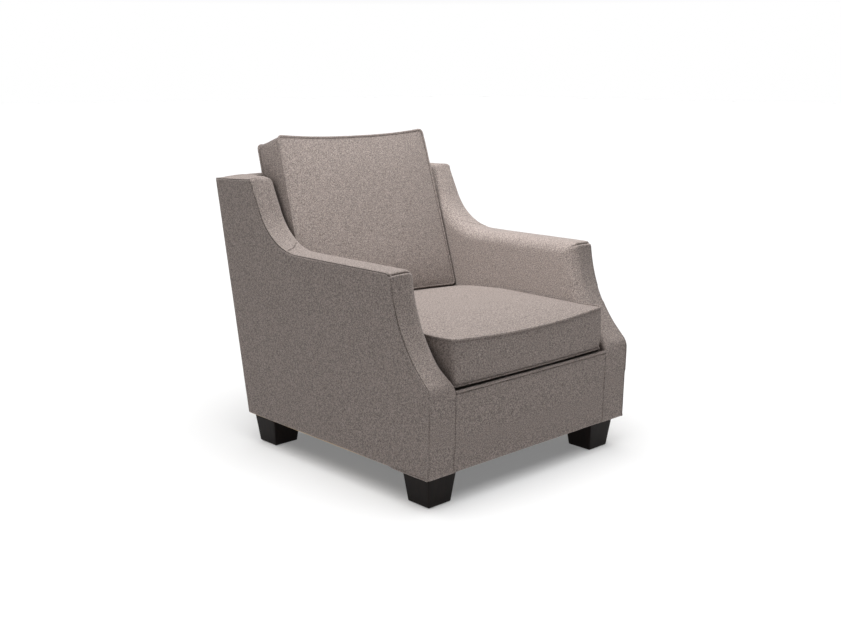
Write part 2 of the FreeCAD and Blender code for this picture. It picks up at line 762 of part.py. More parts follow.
def seat_solid(wall, set_back=0):
    """The cushion's outer form, or with a wall the form of what is inside it."""
    wall = as_size(wall)
    half = size.seat_half_width - wall
    front = size.seat_front_y + wall
    rear = size.seat_rear_y - wall - set_back
    front_radius = size.seat_front_radius - wall
    rear_radius = size.seat_rear_radius - wall
    plan = [
        (-half, front, front_radius),
        (half, front, front_radius),
        (half, rear, rear_radius),
        (-half, rear, rear_radius),
    ]
    floor = size.seat_bottom + wall
    column = prism("XY_Plane", plan, floor, size.seat_crown - floor + OVERRUN)
    profile = [
        (size.seat_front_y - OVERRUN, size.seat_bottom - OVERRUN),
        (size.seat_front_y - OVERRUN, size.seat_front_top - wall),
        (size.seat_crown_front_y, size.seat_crown - wall),
        (size.seat_crown_rear_y, size.seat_crown - wall),
        (size.seat_rear_y + OVERRUN, size.seat_rear_top - wall),
        (size.seat_rear_y + OVERRUN, size.seat_bottom - OVERRUN),
    ]
    lengthways = side_prism(profile, -size.seat_half_width - OVERRUN, size.seat_half_width + OVERRUN)
    edge = size.seat_half_width + OVERRUN
    rise = size.seat_crown - size.seat_front_top - wall
    arch = [
        (-edge, -DEPTH_BELOW),
        (edge, -DEPTH_BELOW),
        (edge, -wall),
        (size.seat_crown_half_width, rise),
        (-size.seat_crown_half_width, rise),
        (-edge, -wall),
    ]
    across = prism("XZ_Plane", arch, -seat_length - OVERRUN * 4, seat_length + OVERRUN * 8)
    tilt(across, seat_fall, size.seat_front_y, size.seat_front_top)
    return common(column, lengthways, across)


def loop_corners(half, front, rear):
    return [
        (-half, front, size.seat_front_radius + welt_offset),
        (half, front, size.seat_front_radius + welt_offset),
        (half, rear, size.seat_rear_radius + welt_offset),
        (-half, rear, size.seat_rear_radius + welt_offset),
    ]


def seat_welt(y, z, angle):
    """The covered cord round an edge of the seat cushion, in a plane that may fall to the rear."""
    body = new_body()
    spine = new_sketch(body, "XY_Plane")
    half = size.seat_half_width + welt_offset
    length = seat_length / math.cos(math.radians(angle))
    draw_outline(spine, loop_corners(half, -welt_offset, length + welt_offset))
    section = new_sketch(body, "YZ_Plane", size.seat_front_radius - size.seat_half_width)
    draw_circle(section, -welt_offset, 0, size.welt_radius)
    return tilt(pipe(body, spine, section), angle, y, z)


def zipper(tape_low, tape_high, teeth_low, teeth_high):
    """The two tapes and the closed teeth between them."""
    return fuse(box(tape_low, tape_high), box(teeth_low, teeth_high))


CORE_GAP = 0.5
CORE_SET_BACK = 4
SLIDER_LIFT = 0.2
TOOTH_CLEARANCE = 0.4
PULL_GAP = 0.3
TAPE_END_OVERLAP = 6
TAPE_SIDE_OVERLAP = 4
SLOT_DEPTH = 8
SLIDER_REST_GAP = 2
LUG_HALF_LENGTH = 1.5
LUG_BITE = 0.5
LUG_NEAR = 1
LUG_FAR = 3
PULL_START = 4

zip_half = size.zipper_half_length
tape_half = zip_half + TAPE_END_OVERLAP
slot_half = size.zipper_slot / 2
tape_reach = slot_half + TAPE_SIDE_OVERLAP
tooth_half = size.zipper_tooth_width / 2
slider_half = size.slider_width / 2
slider_rest_x = size.slider_length / 2 + SLIDER_REST_GAP - zip_half
groove_half = tooth_half + TOOTH_CLEARANCE

slot = box(
    (-zip_half, size.seat_rear_y - SLOT_DEPTH, size.seat_zipper_z - slot_half),
    (zip_half, size.seat_rear_y + SLOT_DEPTH, size.seat_zipper_z + slot_half),
)
keep(cut(seat_solid(0), seat_solid(size.cover_wall), slot), "seat_cushion_cover")
keep(seat_solid(size.cover_wall + CORE_GAP, CORE_SET_BACK), "seat_cushion_foam")
keep(seat_welt(size.seat_front_y, size.seat_front_top - welt_offset, seat_fall), "seat_cushion_top_welt")
keep(seat_welt(size.seat_front_y, size.seat_bottom + welt_offset, 0), "seat_cushion_bottom_welt")

seat_tape_face = size.seat_rear_y - size.cover_wall
seat_zip = zipper(
    (-tape_half, seat_tape_face - size.zipper_tape_thickness, size.seat_zipper_z - tape_reach),
    (tape_half, seat_tape_face, size.seat_zipper_z + tape_reach),
    (-zip_half, seat_tape_face, size.seat_zipper_z - tooth_half),
    (zip_half, seat_tape_face + size.zipper_tooth_height, size.seat_zipper_z + tooth_half),
)
keep(seat_zip, "seat_cushion_zipper")


def slider(low_corner, high_corner, groove_low, groove_high, lug_low, lug_high, pull_low, pull_high):
    """A slider's grooved body with the lug and the pull that hang from it."""
    grooved = cut(box(low_corner, high_corner), box(groove_low, groove_high))
    return fuse(grooved, box(lug_low, lug_high), box(pull_low, pull_high))


slider_low_x = slider_rest_x - size.slider_length / 2
slider_high_x = slider_rest_x + size.slider_length / 2
pull_low_x = slider_rest_x - size.pull_width / 2
pull_high_x = slider_rest_x + size.pull_width / 2
slider_near = seat_tape_face + SLIDER_LIFT
slider_far = slider_near + size.slider_height
groove_far = seat_tape_face + size.zipper_tooth_height + TOOTH_CLEARANCE
pull_near = slider_far + PULL_GAP
pull_far = pull_near + size.pull_thickness
seat_slider = slider(
    (slider_low_x, slider_near, size.seat_zipper_z - slider_half),
    (slider_high_x, slider_far, size.seat_zipper_z + slider_half),
    (slider_low_x - 1, slider_near - 1, size.seat_zipper_z - groove_half),
    (slider_high_x + 1, groove_far, size.seat_zipper_z + groove_half),
    (slider_rest_x - LUG_HALF_LENGTH, slider_far - LUG_BITE, size.seat_zipper_z - LUG_NEAR),
    (slider_rest_x + LUG_HALF_LENGTH, pull_near + LUG_BITE, size.seat_zipper_z + LUG_FAR),
    (pull_low_x, pull_near, size.seat_zipper_z + PULL_START - size.pull_length),
    (pull_high_x, pull_far, size.seat_zipper_z + PULL_START),
)
keep(seat_slider, "seat_zipper_slider")

# ---------------------------------------------------------------- back cushion

FACE_BELOW = 80
rake = math.radians(size.back_rake.number)
rise_per_depth = math.tan(rake)
slant = 1 / math.cos(rake)
side_slope = (
    size.back_half_width_low.number - size.back_half_width_high.number
) / size.back_cushion_length.number


def lean(item):
    """Sets a piece made in the cushion's own frame against the back."""
    return tilt(item, size.back_rake.number, size.back_cushion_y, size.back_cushion_z)


def back_solid(wall, bottom_gap=0):
    """The cushion's outer form, or with a wall the form of what is inside it."""
    wall = as_size(wall)
    top = size.back_cushion_length - wall
    rear = size.back_cushion_thickness - wall
    base = (wall + bottom_gap) * slant
    profile = [
        (wall, wall * rise_per_depth + base),
        (wall, top),
        (rear, top),
        (rear, rear * rise_per_depth + base),
    ]
    edge = size.back_half_width_low + OVERRUN * 2
    through = lean(side_prism(profile, -edge, edge))
    low = size.back_half_width_low + FACE_BELOW * side_slope - wall
    high = size.back_half_width_high - wall
    corner = size.back_corner_radius - wall
    face = [(-low, -FACE_BELOW), (low, -FACE_BELOW), (high, top, corner), (-high, top, corner)]
    depth = size.back_cushion_thickness + OVERRUN
    facing = prism("XZ_Plane", face, -depth, depth + OVERRUN)
    return common(through, lean(facing))


def back_welt(depth):
    """The covered cord round the front or the rear face."""
    body = new_body()
    spine = new_sketch(body, "XZ_Plane", -depth)
    bottom = depth * rise_per_depth - welt_offset * slant
    low = size.back_half_width_low + welt_offset
    high = size.back_half_width_high + welt_offset
    corner = size.back_corner_radius + welt_offset
    top = size.back_cushion_length + welt_offset
    outline = [
        (-low, bottom, welt_offset),
        (low, bottom, welt_offset),
        (high, top, corner),
        (-high, top, corner),
    ]
    draw_outline(spine, outline)
    start_x = spine.Geometry[0].StartPoint.x
    section = new_sketch(body, "YZ_Plane", start_x)
    draw_circle(section, depth, bottom, size.welt_radius)
    return lean(pipe(body, spine, section))


back_slot = box(
    (-zip_half, size.back_zipper_y - slot_half, size.back_cushion_z - SLOT_DEPTH),
    (zip_half, size.back_zipper_y + slot_half, size.back_cushion_z + SLOT_DEPTH),
)
keep(cut(back_solid(0), back_solid(size.cover_wall), back_slot), "back_cushion_cover")
keep(back_solid(size.cover_wall + CORE_GAP, CORE_SET_BACK), "back_cushion_filling")
keep(back_welt(welt_offset), "back_cushion_front_welt")
keep(back_welt(size.back_cushion_thickness - welt_offset), "back_cushion_rear_welt")

back_tape_face = size.back_cushion_z + size.cover_wall
back_zip = zipper(
    (-tape_half, size.back_zipper_y - tape_reach, back_tape_face),
    (tape_half, size.back_zipper_y + tape_reach, back_tape_face + size.zipper_tape_thickness),
    (-zip_half, size.back_zipper_y - tooth_half, back_tape_face - size.zipper_tooth_height),
    (zip_half, size.back_zipper_y + tooth_half, back_tape_face),
)
keep(back_zip, "back_cushion_zipper")

slider_top = back_tape_face - SLIDER_LIFT
slider_bottom = slider_top - size.slider_height
groove_bottom = back_tape_face - size.zipper_tooth_height - TOOTH_CLEARANCE
pull_top = slider_bottom - PULL_GAP
back_slider = slider(
    (slider_low_x, size.back_zipper_y - slider_half, slider_bottom),
    (slider_high_x, size.back_zipper_y + slider_half, slider_top),
    (slider_low_x - 1, size.back_zipper_y - groove_half, groove_bottom),
    (slider_high_x + 1, size.back_zipper_y + groove_half, slider_top + 1),
    (slider_rest_x - LUG_HALF_LENGTH, size.back_zipper_y - LUG_NEAR, pull_top - LUG_BITE),
    (slider_rest_x + LUG_HALF_LENGTH, size.back_zipper_y + LUG_FAR, slider_bottom + LUG_BITE),
    (pull_low_x, size.back_zipper_y + PULL_START - size.pull_length, pull_top - size.pull_thickness),
    (pull_high_x, size.back_zipper_y + PULL_START, pull_top),
)
keep(back_slider, "back_zipper_slider")

# ---------------------------------------------------------------- export

document.recompute()

for item in document.Objects:
    faults = [state for state in item.State if state in ("Invalid", "Error")]
    if faults:
        raise RuntimeError(f"{item.Name} ({item.Label}) is {faults}")
for item in NODES:
    if item.Shape.isNull() or not item.Shape.isValid() or not item.Shape.Solids:
        raise RuntimeError(f"{item.Label} has no valid solid")

os.makedirs("parts", exist_ok=True)
for item in NODES:
    item.Shape.exportStep(f"parts/{item.Label}.step")
    print(f"{item.Label}: {len(item.Shape.Solids)} solid(s), {item.Shape.Volume / 1000:.1f} cm3")
print(f"{len(NODES)} nodes")
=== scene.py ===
"""Looks of an upholstered armchair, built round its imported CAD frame.

Every piece is placed in metres in the frame's own coordinates: the chair faces -Y, its left arm is on -X, and it
stands on z = 0.
"""
import math
from functools import lru_cache

import bmesh
import bpy
import numpy as np
from bpy.props import FloatProperty, FloatVectorProperty, PointerProperty, StringProperty
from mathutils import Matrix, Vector, noise
from mathutils.geometry import delaunay_2d_cdt


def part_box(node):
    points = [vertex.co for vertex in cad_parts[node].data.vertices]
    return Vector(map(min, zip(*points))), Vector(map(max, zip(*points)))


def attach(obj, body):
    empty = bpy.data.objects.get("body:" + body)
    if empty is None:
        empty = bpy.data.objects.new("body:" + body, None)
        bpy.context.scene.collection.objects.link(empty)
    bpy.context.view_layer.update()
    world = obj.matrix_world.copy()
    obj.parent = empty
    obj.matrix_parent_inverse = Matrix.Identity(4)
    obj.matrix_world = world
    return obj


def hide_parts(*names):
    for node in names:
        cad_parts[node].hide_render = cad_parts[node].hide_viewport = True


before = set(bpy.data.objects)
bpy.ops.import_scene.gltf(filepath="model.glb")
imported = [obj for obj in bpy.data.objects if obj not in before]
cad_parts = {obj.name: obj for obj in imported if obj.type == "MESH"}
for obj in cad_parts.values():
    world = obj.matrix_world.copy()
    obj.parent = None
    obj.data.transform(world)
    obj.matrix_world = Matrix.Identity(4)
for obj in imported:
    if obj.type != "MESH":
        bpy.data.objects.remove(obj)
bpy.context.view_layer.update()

bl_info = {
    "name": "Upholstered armchair",
    "version": (1, 0, 0),
    "blender": (4, 5, 0),
    "location": "3D View > Sidebar > Armchair",
    "description": "Builds an upholstered armchair with loose cushions round its packed frame",
    "category": "Object",
}

MM = 0.001
SIDES = (("left", -1), ("right", 1))

# ---------------------------------------------------------------------------------------------------------------
# Sizes and colours
# ---------------------------------------------------------------------------------------------------------------

LOW = {name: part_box(name)[0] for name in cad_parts}
HIGH = {name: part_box(name)[1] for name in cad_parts}


def length(name, description, default):
    return FloatProperty(name=name, description=description, default=default, unit="LENGTH", subtype="DISTANCE")


def colour(name, description, default):
    return StringProperty(name=name, description=description + ", as an sRGB hex value", default=default)


class ArmchairSizes(bpy.types.PropertyGroup):
    knee_height: length("Knee height", "Height at which the arm's front edge turns back", 0.338)
    sweep_depth: length("Sweep depth", "How far back from the front the arm's swept front edge ends", 0.130)
    sweep_height: length("Sweep height", "Height of the middle of the swept front edge", 0.468)
    arm_front: length("Arm front", "Distance of the arm's front top corner from the chair's front", 0.151)
    scoop: length("Scoop", "Distance from the rear at which the arm top starts to climb to the wing", 0.286)
    wing: length("Wing", "Distance from the rear to the front of the wing's top", 0.186)
    inner_radius: length("Inner edge radius", "Radius of the padded edge between an arm's top and its inside",
                         0.040)
    band_crown: length("Band crown", "How far the padding lifts the middle of an arm's top", 0.0046)
    wing_crown: length("Wing crown", "How far the padding lifts the top of a wing", 0.0075)
    welt_radius: length("Welt radius", "Radius of the fabric covered cord in the cushion seams", 0.0031)
    seat_crown: length("Seat crown", "Height of the seat cushion's middle above its seams", 0.019)
    seat_bow: length("Seat bow", "How far the seat cushion's front bows out in the middle", 0.010)
    back_crown: length("Back crown", "How far the back cushion's face swells in the middle", 0.012)
    back_sag: length("Back sag", "How far the back cushion's top edge drops in the middle", 0.014)
    foot_chamfer: length("Foot edge", "Width of the eased edges of a foot", 0.0025)


class ArmchairColours(bpy.types.PropertyGroup):
    light_yarn: colour("Light yarn", "Light yarn of the heathered upholstery cloth", "#A39892")
    dark_yarn: colour("Dark yarn", "Dark yarn of the heathered upholstery cloth", "#665E5B")
    warm_yarn: colour("Warm yarn", "Pinkish fibre spun into both yarns", "#8F7F76")
    foot_wood: colour("Foot wood", "Espresso stained hardwood", "#0C0706")
    frame_wood: colour("Frame wood", "Planed pine of the frame", "#C9A878")


class ArmchairLighting(bpy.types.PropertyGroup):
    eye: FloatVectorProperty(name="Camera", description="Where the camera stands", size=3, subtype="TRANSLATION",
                             unit="LENGTH", default=(-2.2727, -2.4388, 1.1417))
    target: FloatVectorProperty(name="Camera target", description="The point that the camera looks at", size=3,
                                subtype="TRANSLATION", unit="LENGTH", default=(0.0, -0.0031, 0.3934))
    lens: FloatProperty(name="Lens", description="Focal length on a 36 mm wide sensor", default=46.58,
                        unit="CAMERA")
    overhead: FloatProperty(name="Overhead softbox", description="Power of the softbox over the chair",
                            default=54.0, unit="POWER")
    top: FloatProperty(name="Top light", description="Strength of the broad soft light from above", default=2.5)
    inside: FloatProperty(name="Inside fill", description="Power of the small fill on the far arm's inside",
                          default=30.0, unit="POWER")
    face: FloatProperty(name="Face fill", description="Power of the fill on the back cushion", default=11.0,
                        unit="POWER")
    side: FloatProperty(name="Side fill", description="Power of the fill on the back cushion's side", default=10.0,
                        unit="POWER")
    floor: FloatProperty(name="Floor light", description="Strength of the broad light on the floor", default=3.75)
    world: FloatProperty(name="Surround", description="Strength of the pale surround", default=0.09)


def sizes():
    return bpy.context.scene.armchair_sizes


def colours():
    return bpy.context.scene.armchair_colours


def lighting():
    return bpy.context.scene.armchair_lighting


# ---------------------------------------------------------------------------------------------------------------
# Mesh helpers
# ---------------------------------------------------------------------------------------------------------------


def smooth(value):
    """0 below 0, 1 above 1, and an even S in between."""
    value = min(1.0, max(0.0, value))
    return value * value * (3 - 2 * value)


def between(low, high, share):
    return low + (high - low) * share


class Outline:
    """A rounded outline in a plane. Rings at any inset have their points in step with each other."""

    smallest_radius = 0.4 * MM
    least_bend_steps = 7
    dense_spacing = 1.2 * MM
    closest_stations = 0.0006
    used_edge = 0.995

    def __init__(self, corners, spacing, closed=True, dense=()):
        """corners are (a, b, radius). Stations are spacing apart, and closer in the dense (start, end) runs."""
        self.corners = corners
        self.closed = closed
        count = len(corners)
        pairs = [(corners[i], corners[(i + 1) % count]) for i in range(count)]
        self.left = 1 if sum(a[0] * b[1] - a[1] * b[0] for a, b in pairs) > 0 else -1
        bends = self.bends(0.0)
        spans = []
        for i in range(count):
            enter, leave, centre, radius, turn = bends[i]
            if turn:
                spans.append(("bend", i, abs(turn) * radius))
            if closed or i < count - 1:
                spans.append(("edge", i, (bends[(i + 1) % count][0] - leave).length))
        self.stations, self.starts = [], {}
        done = 0.0
        for kind, index, run in spans:
            steps = max(self.least_bend_steps if kind == "bend" else 1, math.ceil(run / spacing))
            shares = {round(k / steps, 6) for k in range(steps)}
            for start, end in dense:
                for at in np.arange(start, end, self.dense_spacing):
                    share = (at - done) / run
                    if 0 <= share < 1:
                        shares.add(round(float(share), 6))
            kept = []
            for share in sorted(shares):
                if not kept or (share - kept[-1]) * run > self.closest_stations:
                    kept.append(share)
            self.stations += [(kind, index, share) for share in kept]
            self.starts[kind, index] = (done, run)
            done += run
        if not closed:
            self.stations.append((spans[-1][0], spans[-1][1], 1.0))

    def run_to(self, bend, share):
        """Length along the outline to a share of the way round one of its bends."""
        start, run = self.starts["bend", bend]
        return start + run * share

    def inward(self, direction):
        return Vector((-direction.y, direction.x)) * self.left

    @lru_cache(maxsize=None)
    def bends(self, inset):
        """Each corner as (arc start, arc end, centre, radius, turn) once every edge has moved in by inset."""
        points = [Vector(corner[:2]) for corner in self.corners]
        count = len(points)
        edges = []
        for i in range(count if self.closed else count - 1):
            direction = (points[(i + 1) % count] - points[i]).normalized()
            edges.append((points[i] + self.inward(direction) * inset, direction))
        moved = []
        for i in range(count):
            if not self.closed and i in (0, count - 1):
                origin, direction = edges[0] if i == 0 else edges[-1]
                moved.append((points[i] + self.inward(direction) * inset, 0.0, 0.0, direction, direction))
                continue
            (p, d), (q, e) = edges[i - 1], edges[i % len(edges)]
            cross = d.x * e.y - d.y * e.x
            gap = q - p
            corner = p + d * ((gap.x * e.y - gap.y * e.x) / cross)
            turn = math.atan2(cross, d.dot(e))
            grows = -1 if turn * self.left > 0 else 1
            radius = max(self.corners[i][2] + grows * inset, self.smallest_radius)
            moved.append((corner, radius, turn, d, e))
        reach = [radius * math.tan(abs(turn) / 2) for corner, radius, turn, d, e in moved]
        share = [1.0] * count
        for i in range(len(edges)):
            j = (i + 1) % count
            room = (moved[j][0] - moved[i][0]).length * self.used_edge
            if reach[i] + reach[j] > room:
                share[i] = min(share[i], room / (reach[i] + reach[j]))
                share[j] = min(share[j], room / (reach[i] + reach[j]))
        found = []
        for i, (corner, radius, turn, d, e) in enumerate(moved):
            radius *= share[i]
            back = radius * math.tan(abs(turn) / 2)
            enter = corner - d * back
            centre = enter + Vector((-d.y, d.x)) * math.copysign(radius, turn)
            found.append((enter, corner + e * back, centre, radius, turn))
        return found

    def point(self, station, inset):
        kind, index, share = station
        bends = self.bends(round(inset, 6))
        enter, leave, centre, radius, turn = bends[index]
        if kind == "edge":
            return leave.lerp(bends[(index + 1) % len(bends)][0], share)
        arm = enter - centre
        c, s = math.cos(turn * share), math.sin(turn * share)
        return centre + Vector((arm.x * c - arm.y * s, arm.x * s + arm.y * c))

    def ring(self, inset):
        return [self.point(station, inset) for station in self.stations]


def grid_faces(rows, columns, closed, first=0):
    faces = []
    for row in range(rows - 1):
        for column in range(columns if closed else columns - 1):
            a = first + row * columns + column
            b = first + row * columns + (column + 1) % columns
            faces.append((a, b, b + columns, a + columns))
    return faces


def filled(loop, spacing):
    """Even points and triangles that fill a closed loop in a plane. The loop's own points come first."""
    rim = np.array([tuple(p) for p in loop])
    low, high = rim.min(0), rim.max(0)
    rows = []
    for k, y in enumerate(np.arange(low[1] + spacing / 2, high[1], spacing * math.sqrt(3) / 2)):
        xs = np.arange(low[0] + (spacing / 2 if k % 2 else 0), high[0], spacing)
        rows.append(np.column_stack([xs, np.full(len(xs), y)]))
    dots = np.concatenate(rows)
    inside = np.zeros(len(dots), bool)
    nearest = np.full(len(dots), 1e9)
    for a, b in zip(rim, np.roll(rim, -1, 0)):
        crosses = (a[1] > dots[:, 1]) != (b[1] > dots[:, 1])
        if a[1] != b[1]:
            at = a[0] + (dots[:, 1] - a[1]) / (b[1] - a[1]) * (b[0] - a[0])
            inside ^= crosses & (dots[:, 0] < at)
        run = b - a
        share = np.clip(((dots - a) @ run) / max(run @ run, 1e-12), 0, 1)
        nearest = np.minimum(nearest, np.linalg.norm(dots - a - share[:, None] * run, axis=1))
    dots = dots[inside & (nearest > spacing * 0.6)]
    points = [Vector(p) for p in rim] + [Vector(p) for p in dots]
    edges = [(i, (i + 1) % len(rim)) for i in range(len(rim))]
    out, _, faces, origins, _, _ = delaunay_2d_cdt(points, edges, [], 1, 1e-7)
    index = [origin[0] if origin else None for origin in origins]
    if None in index:
        raise RuntimeError("a filled loop crosses itself")
    return [tuple(p) for p in points], [tuple(index[i] for i in face) for face in faces]


class Skin:
    """Collects the points and faces of one piece."""

    def __init__(self):
        self.points, self.faces = [], []

    def rows(self, rows, closed=True):
        first = len(self.points)
        for row in rows:
            self.points += [Vector(p) for p in row]
        self.faces += grid_faces(len(rows), len(rows[0]), closed, first)

    def patch(self, loop, spacing, place):
        points, faces = filled(loop, spacing)
        first = len(self.points)
        self.points += [Vector(place(*p)) for p in points]
        self.faces += [tuple(first + i for i in face) for face in faces]

    def end(self, ring):
        """Closes an end with one face."""
        first = len(self.points)
        self.points += [Vector(p) for p in ring]
        self.faces.append(tuple(range(first, first + len(ring))))

    def piece(self, name, material, facing=None, shape=None, thickness=0.0, weld=2e-5):
        """Makes the object. shape gives how far a point moves along its own normal."""
        mesh = bpy.data.meshes.new(name)
        mesh.from_pydata([tuple(p) for p in self.points], [], self.faces)
        work = bmesh.new()
        work.from_mesh(mesh)
        bmesh.ops.remove_doubles(work, verts=work.verts, dist=weld)
        bmesh.ops.dissolve_degenerate(work, edges=work.edges, dist=1e-6)
        bmesh.ops.recalc_face_normals(work, faces=work.faces)
        if facing is not None:
            total = sum((f.normal * f.calc_area() for f in work.faces), Vector())
            if total.dot(Vector(facing)) < 0:
                bmesh.ops.reverse_faces(work, faces=work.faces)
        work.normal_update()
        if shape:
            moves = [(v, v.normal * shape(v.co)) for v in work.verts]
            for v, step in moves:
                v.co += step
            work.normal_update()
        work.to_mesh(mesh)
        work.free()
        mesh.polygons.foreach_set("use_smooth", [True] * len(mesh.polygons))
        mesh.update()
        obj = bpy.data.objects.new(name, mesh)
        bpy.context.scene.collection.objects.link(obj)
        mesh.materials.append(material)
        if thickness:
            shell = obj.modifiers.new("Thickness", "SOLIDIFY")
            shell.thickness = thickness
            shell.offset = -1
            shell.use_even_offset = False
        return obj


def settle(obj, body, replaced):
    """Says what a finished piece rides on and stands for."""
    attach(obj, body)
    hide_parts(*replaced)
    return obj


def ripple(point, size, depth, seed=0.0, stretch=(1, 1, 1)):
    """Smooth, seeded unevenness of about depth either way, with features of about size."""
    p = Vector((point[0] * stretch[0], point[1] * stretch[1], point[2] * stretch[2])) / size
    return noise.noise(p + Vector((seed, seed * 1.7, seed * 0.3))) * depth


CORD_SIDES = 10


def tube(path, radius, closed, uneven):
    """Rings of points round a path, for a fabric covered cord."""
    rows = []
    count = len(path)
    up = None
    for i, p in enumerate(path):
        before = path[i - 1] if closed or i else path[i]
        after = path[(i + 1) % count] if closed or i < count - 1 else path[i]
        along = (after - before).normalized()
        if up is None:
            up = along.orthogonal().normalized()
        side = along.cross(up).normalized()
        up = side.cross(along).normalized()
        r = radius + ripple(p, 9 * MM, uneven, 3.1)
        rows.append([p + (side * math.cos(a) + up * math.sin(a)) * r
                     for a in (2 * math.pi * k / CORD_SIDES for k in range(CORD_SIDES))])
    return rows


# ---------------------------------------------------------------------------------------------------------------
# Materials
# ---------------------------------------------------------------------------------------------------------------


def hex_to_linear(text):
    values = [int(text[i:i + 2], 16) / 255 for i in (1, 3, 5)]
    return tuple(v / 12.92 if v <= 0.04045 else ((v + 0.055) / 1.055) ** 2.4 for v in values) + (1.0,)


def add(tree, kind, settings=None, links=None):
    """Adds a node. A setting is an input's value where the node has that input, else a property. The stops of a
    colour ramp are (place, hex colour) pairs."""
    node = tree.nodes.new(kind)
    for key, value in (settings or {}).items():
        if key == "stops":
            for point, (where, shade) in zip(node.color_ramp.elements, value):
                point.position, point.color = where, hex_to_linear(shade)
        elif isinstance(key, int) or key in node.inputs:
            node.inputs[key].default_value = value
        else:
            setattr(node, key, value)
    for key, socket in (links or {}).items():
        tree.links.new(socket, node.inputs[key])
    return node


def new_material(name, surface):
    """A material whose shader has these settings. Gives the material, its tree, its shader and its coordinates."""
    material = bpy.data.materials.new(name)
    material.use_nodes = True
    tree = material.node_tree
    tree.nodes.clear()
    shader = add(tree, "ShaderNodeBsdfPrincipled", surface)
    add(tree, "ShaderNodeOutputMaterial", {}, {"Surface": shader.outputs[0]})
    place = add(tree, "ShaderNodeTexCoord").outputs["Object"]
    return material, tree, shader, place


def blotches(tree, place, size, detail=2.0, roughness=0.5, stretch=(1, 1, 1)):
    """Noise whose features are about size metres."""
    spread = add(tree, "ShaderNodeMapping", {"Scale": stretch}, {"Vector": place})
    return add(tree, "ShaderNodeTexNoise", {"Scale": 1 / size, "Detail": detail, "Roughness": roughness},
               {"Vector": spread.outputs[0]}).outputs[0]


def threads(tree, place, spacing, wobble):
    """Height of a plain weave: crossed ridges along all three axes, so that it shows on every side of a piece."""
    # A wave texture repeats every pi / 10 / scale metres.
    scale = math.pi / 10 / spacing
    total = None
    for axis in ("X", "Y", "Z"):
        wave = add(tree, "ShaderNodeTexWave",
                   {"Scale": scale, "Distortion": wobble, "Detail": 1.0, "Detail Scale": 2.0,
                    "bands_direction": axis}, {"Vector": place}).outputs[1]
        if total is None:
            total = wave
        else:
            total = add(tree, "ShaderNodeMath", {"operation": "ADD"}, {0: total, 1: wave}).outputs[0]
    return add(tree, "ShaderNodeMath", {"operation": "DIVIDE", 1: 3.0}, {0: total}).outputs[0]


def dress(tree, shader, shade, relief, depth, strength):
    """Gives a shader its colour and its fine relief."""
    tree.links.new(shade, shader.inputs["Base Color"])
    raised = add(tree, "ShaderNodeBump", {"Distance": depth, "Strength": strength}, {"Height": relief})
    tree.links.new(raised.outputs[0], shader.inputs["Normal"])


@lru_cache(maxsize=None)
def heathered_cloth():
    """Woven heathered polyester: matt, with light and dark flecks and a soft halo at grazing angles."""
    shades = colours()
    material, tree, shader, place = new_material("heathered_polyester_woven", {
        "Roughness": 0.92, "IOR": 1.46, "Sheen Weight": 0.08, "Sheen Roughness": 0.45,
        "Specular IOR Level": 0.2})
    # Yarns are about 0.6 mm thick. Their flecks are drawn at 3.1 mm, because finer ones don't show when the whole
    # chair is in view.
    fleck = blotches(tree, place, 3.1 * MM, 3.0, 0.7)
    yarn = add(tree, "ShaderNodeValToRGB", {"stops": [(0.40, shades.dark_yarn), (0.60, shades.light_yarn)]},
               {0: fleck}).outputs[0]
    slub = blotches(tree, place, 7 * MM, 2.0, 0.6, (1, 1, 0.55))
    slub_shade = add(tree, "ShaderNodeValToRGB", {"stops": [(0.3, "#F0F0F0"), (0.7, "#FFFFFF")]},
                     {0: slub}).outputs[0]
    toned = add(tree, "ShaderNodeMix", {"data_type": "RGBA", "blend_type": "MULTIPLY", 0: 1.0},
                {6: yarn, 7: slub_shade}).outputs[2]
    fibre = blotches(tree, place, 4.5 * MM, 2.0, 0.6)
    share = add(tree, "ShaderNodeMapRange", {1: 0.45, 2: 0.75, 3: 0.0, 4: 0.4}, {0: fibre}).outputs[0]
    warm = add(tree, "ShaderNodeMix", {"data_type": "RGBA", 7: hex_to_linear(shades.warm_yarn)},
               {0: share, 6: toned}).outputs[2]
    weave = threads(tree, place, 2.6 * MM, 1.2)
    mixed = add(tree, "ShaderNodeMix", {"data_type": "FLOAT", 0: 0.45}, {2: weave, 3: fleck}).outputs[0]
    dress(tree, shader, warm, mixed, 0.5 * MM, 0.45)
    return material


@lru_cache(maxsize=None)
def woven_cloth(name, light, dark, spacing, roughness):
    """Plain utility cloth: a flat matt weave in two close shades."""
    material, tree, shader, place = new_material(name, {"Roughness": roughness, "IOR": 1.46,
                                                        "Specular IOR Level": 0.2, "Sheen Weight": 0.05})
    weave = threads(tree, place, spacing, 0.5)
    wear = blotches(tree, place, 25 * MM, 3.0)
    mixed = add(tree, "ShaderNodeMix", {"data_type": "FLOAT", 0: 0.35}, {2: weave, 3: wear}).outputs[0]
    shade = add(tree, "ShaderNodeValToRGB", {"stops": [(0.3, dark), (0.7, light)]}, {0: mixed}).outputs[0]
    dress(tree, shader, shade, weave, 0.4 * MM, 0.6)
    return material


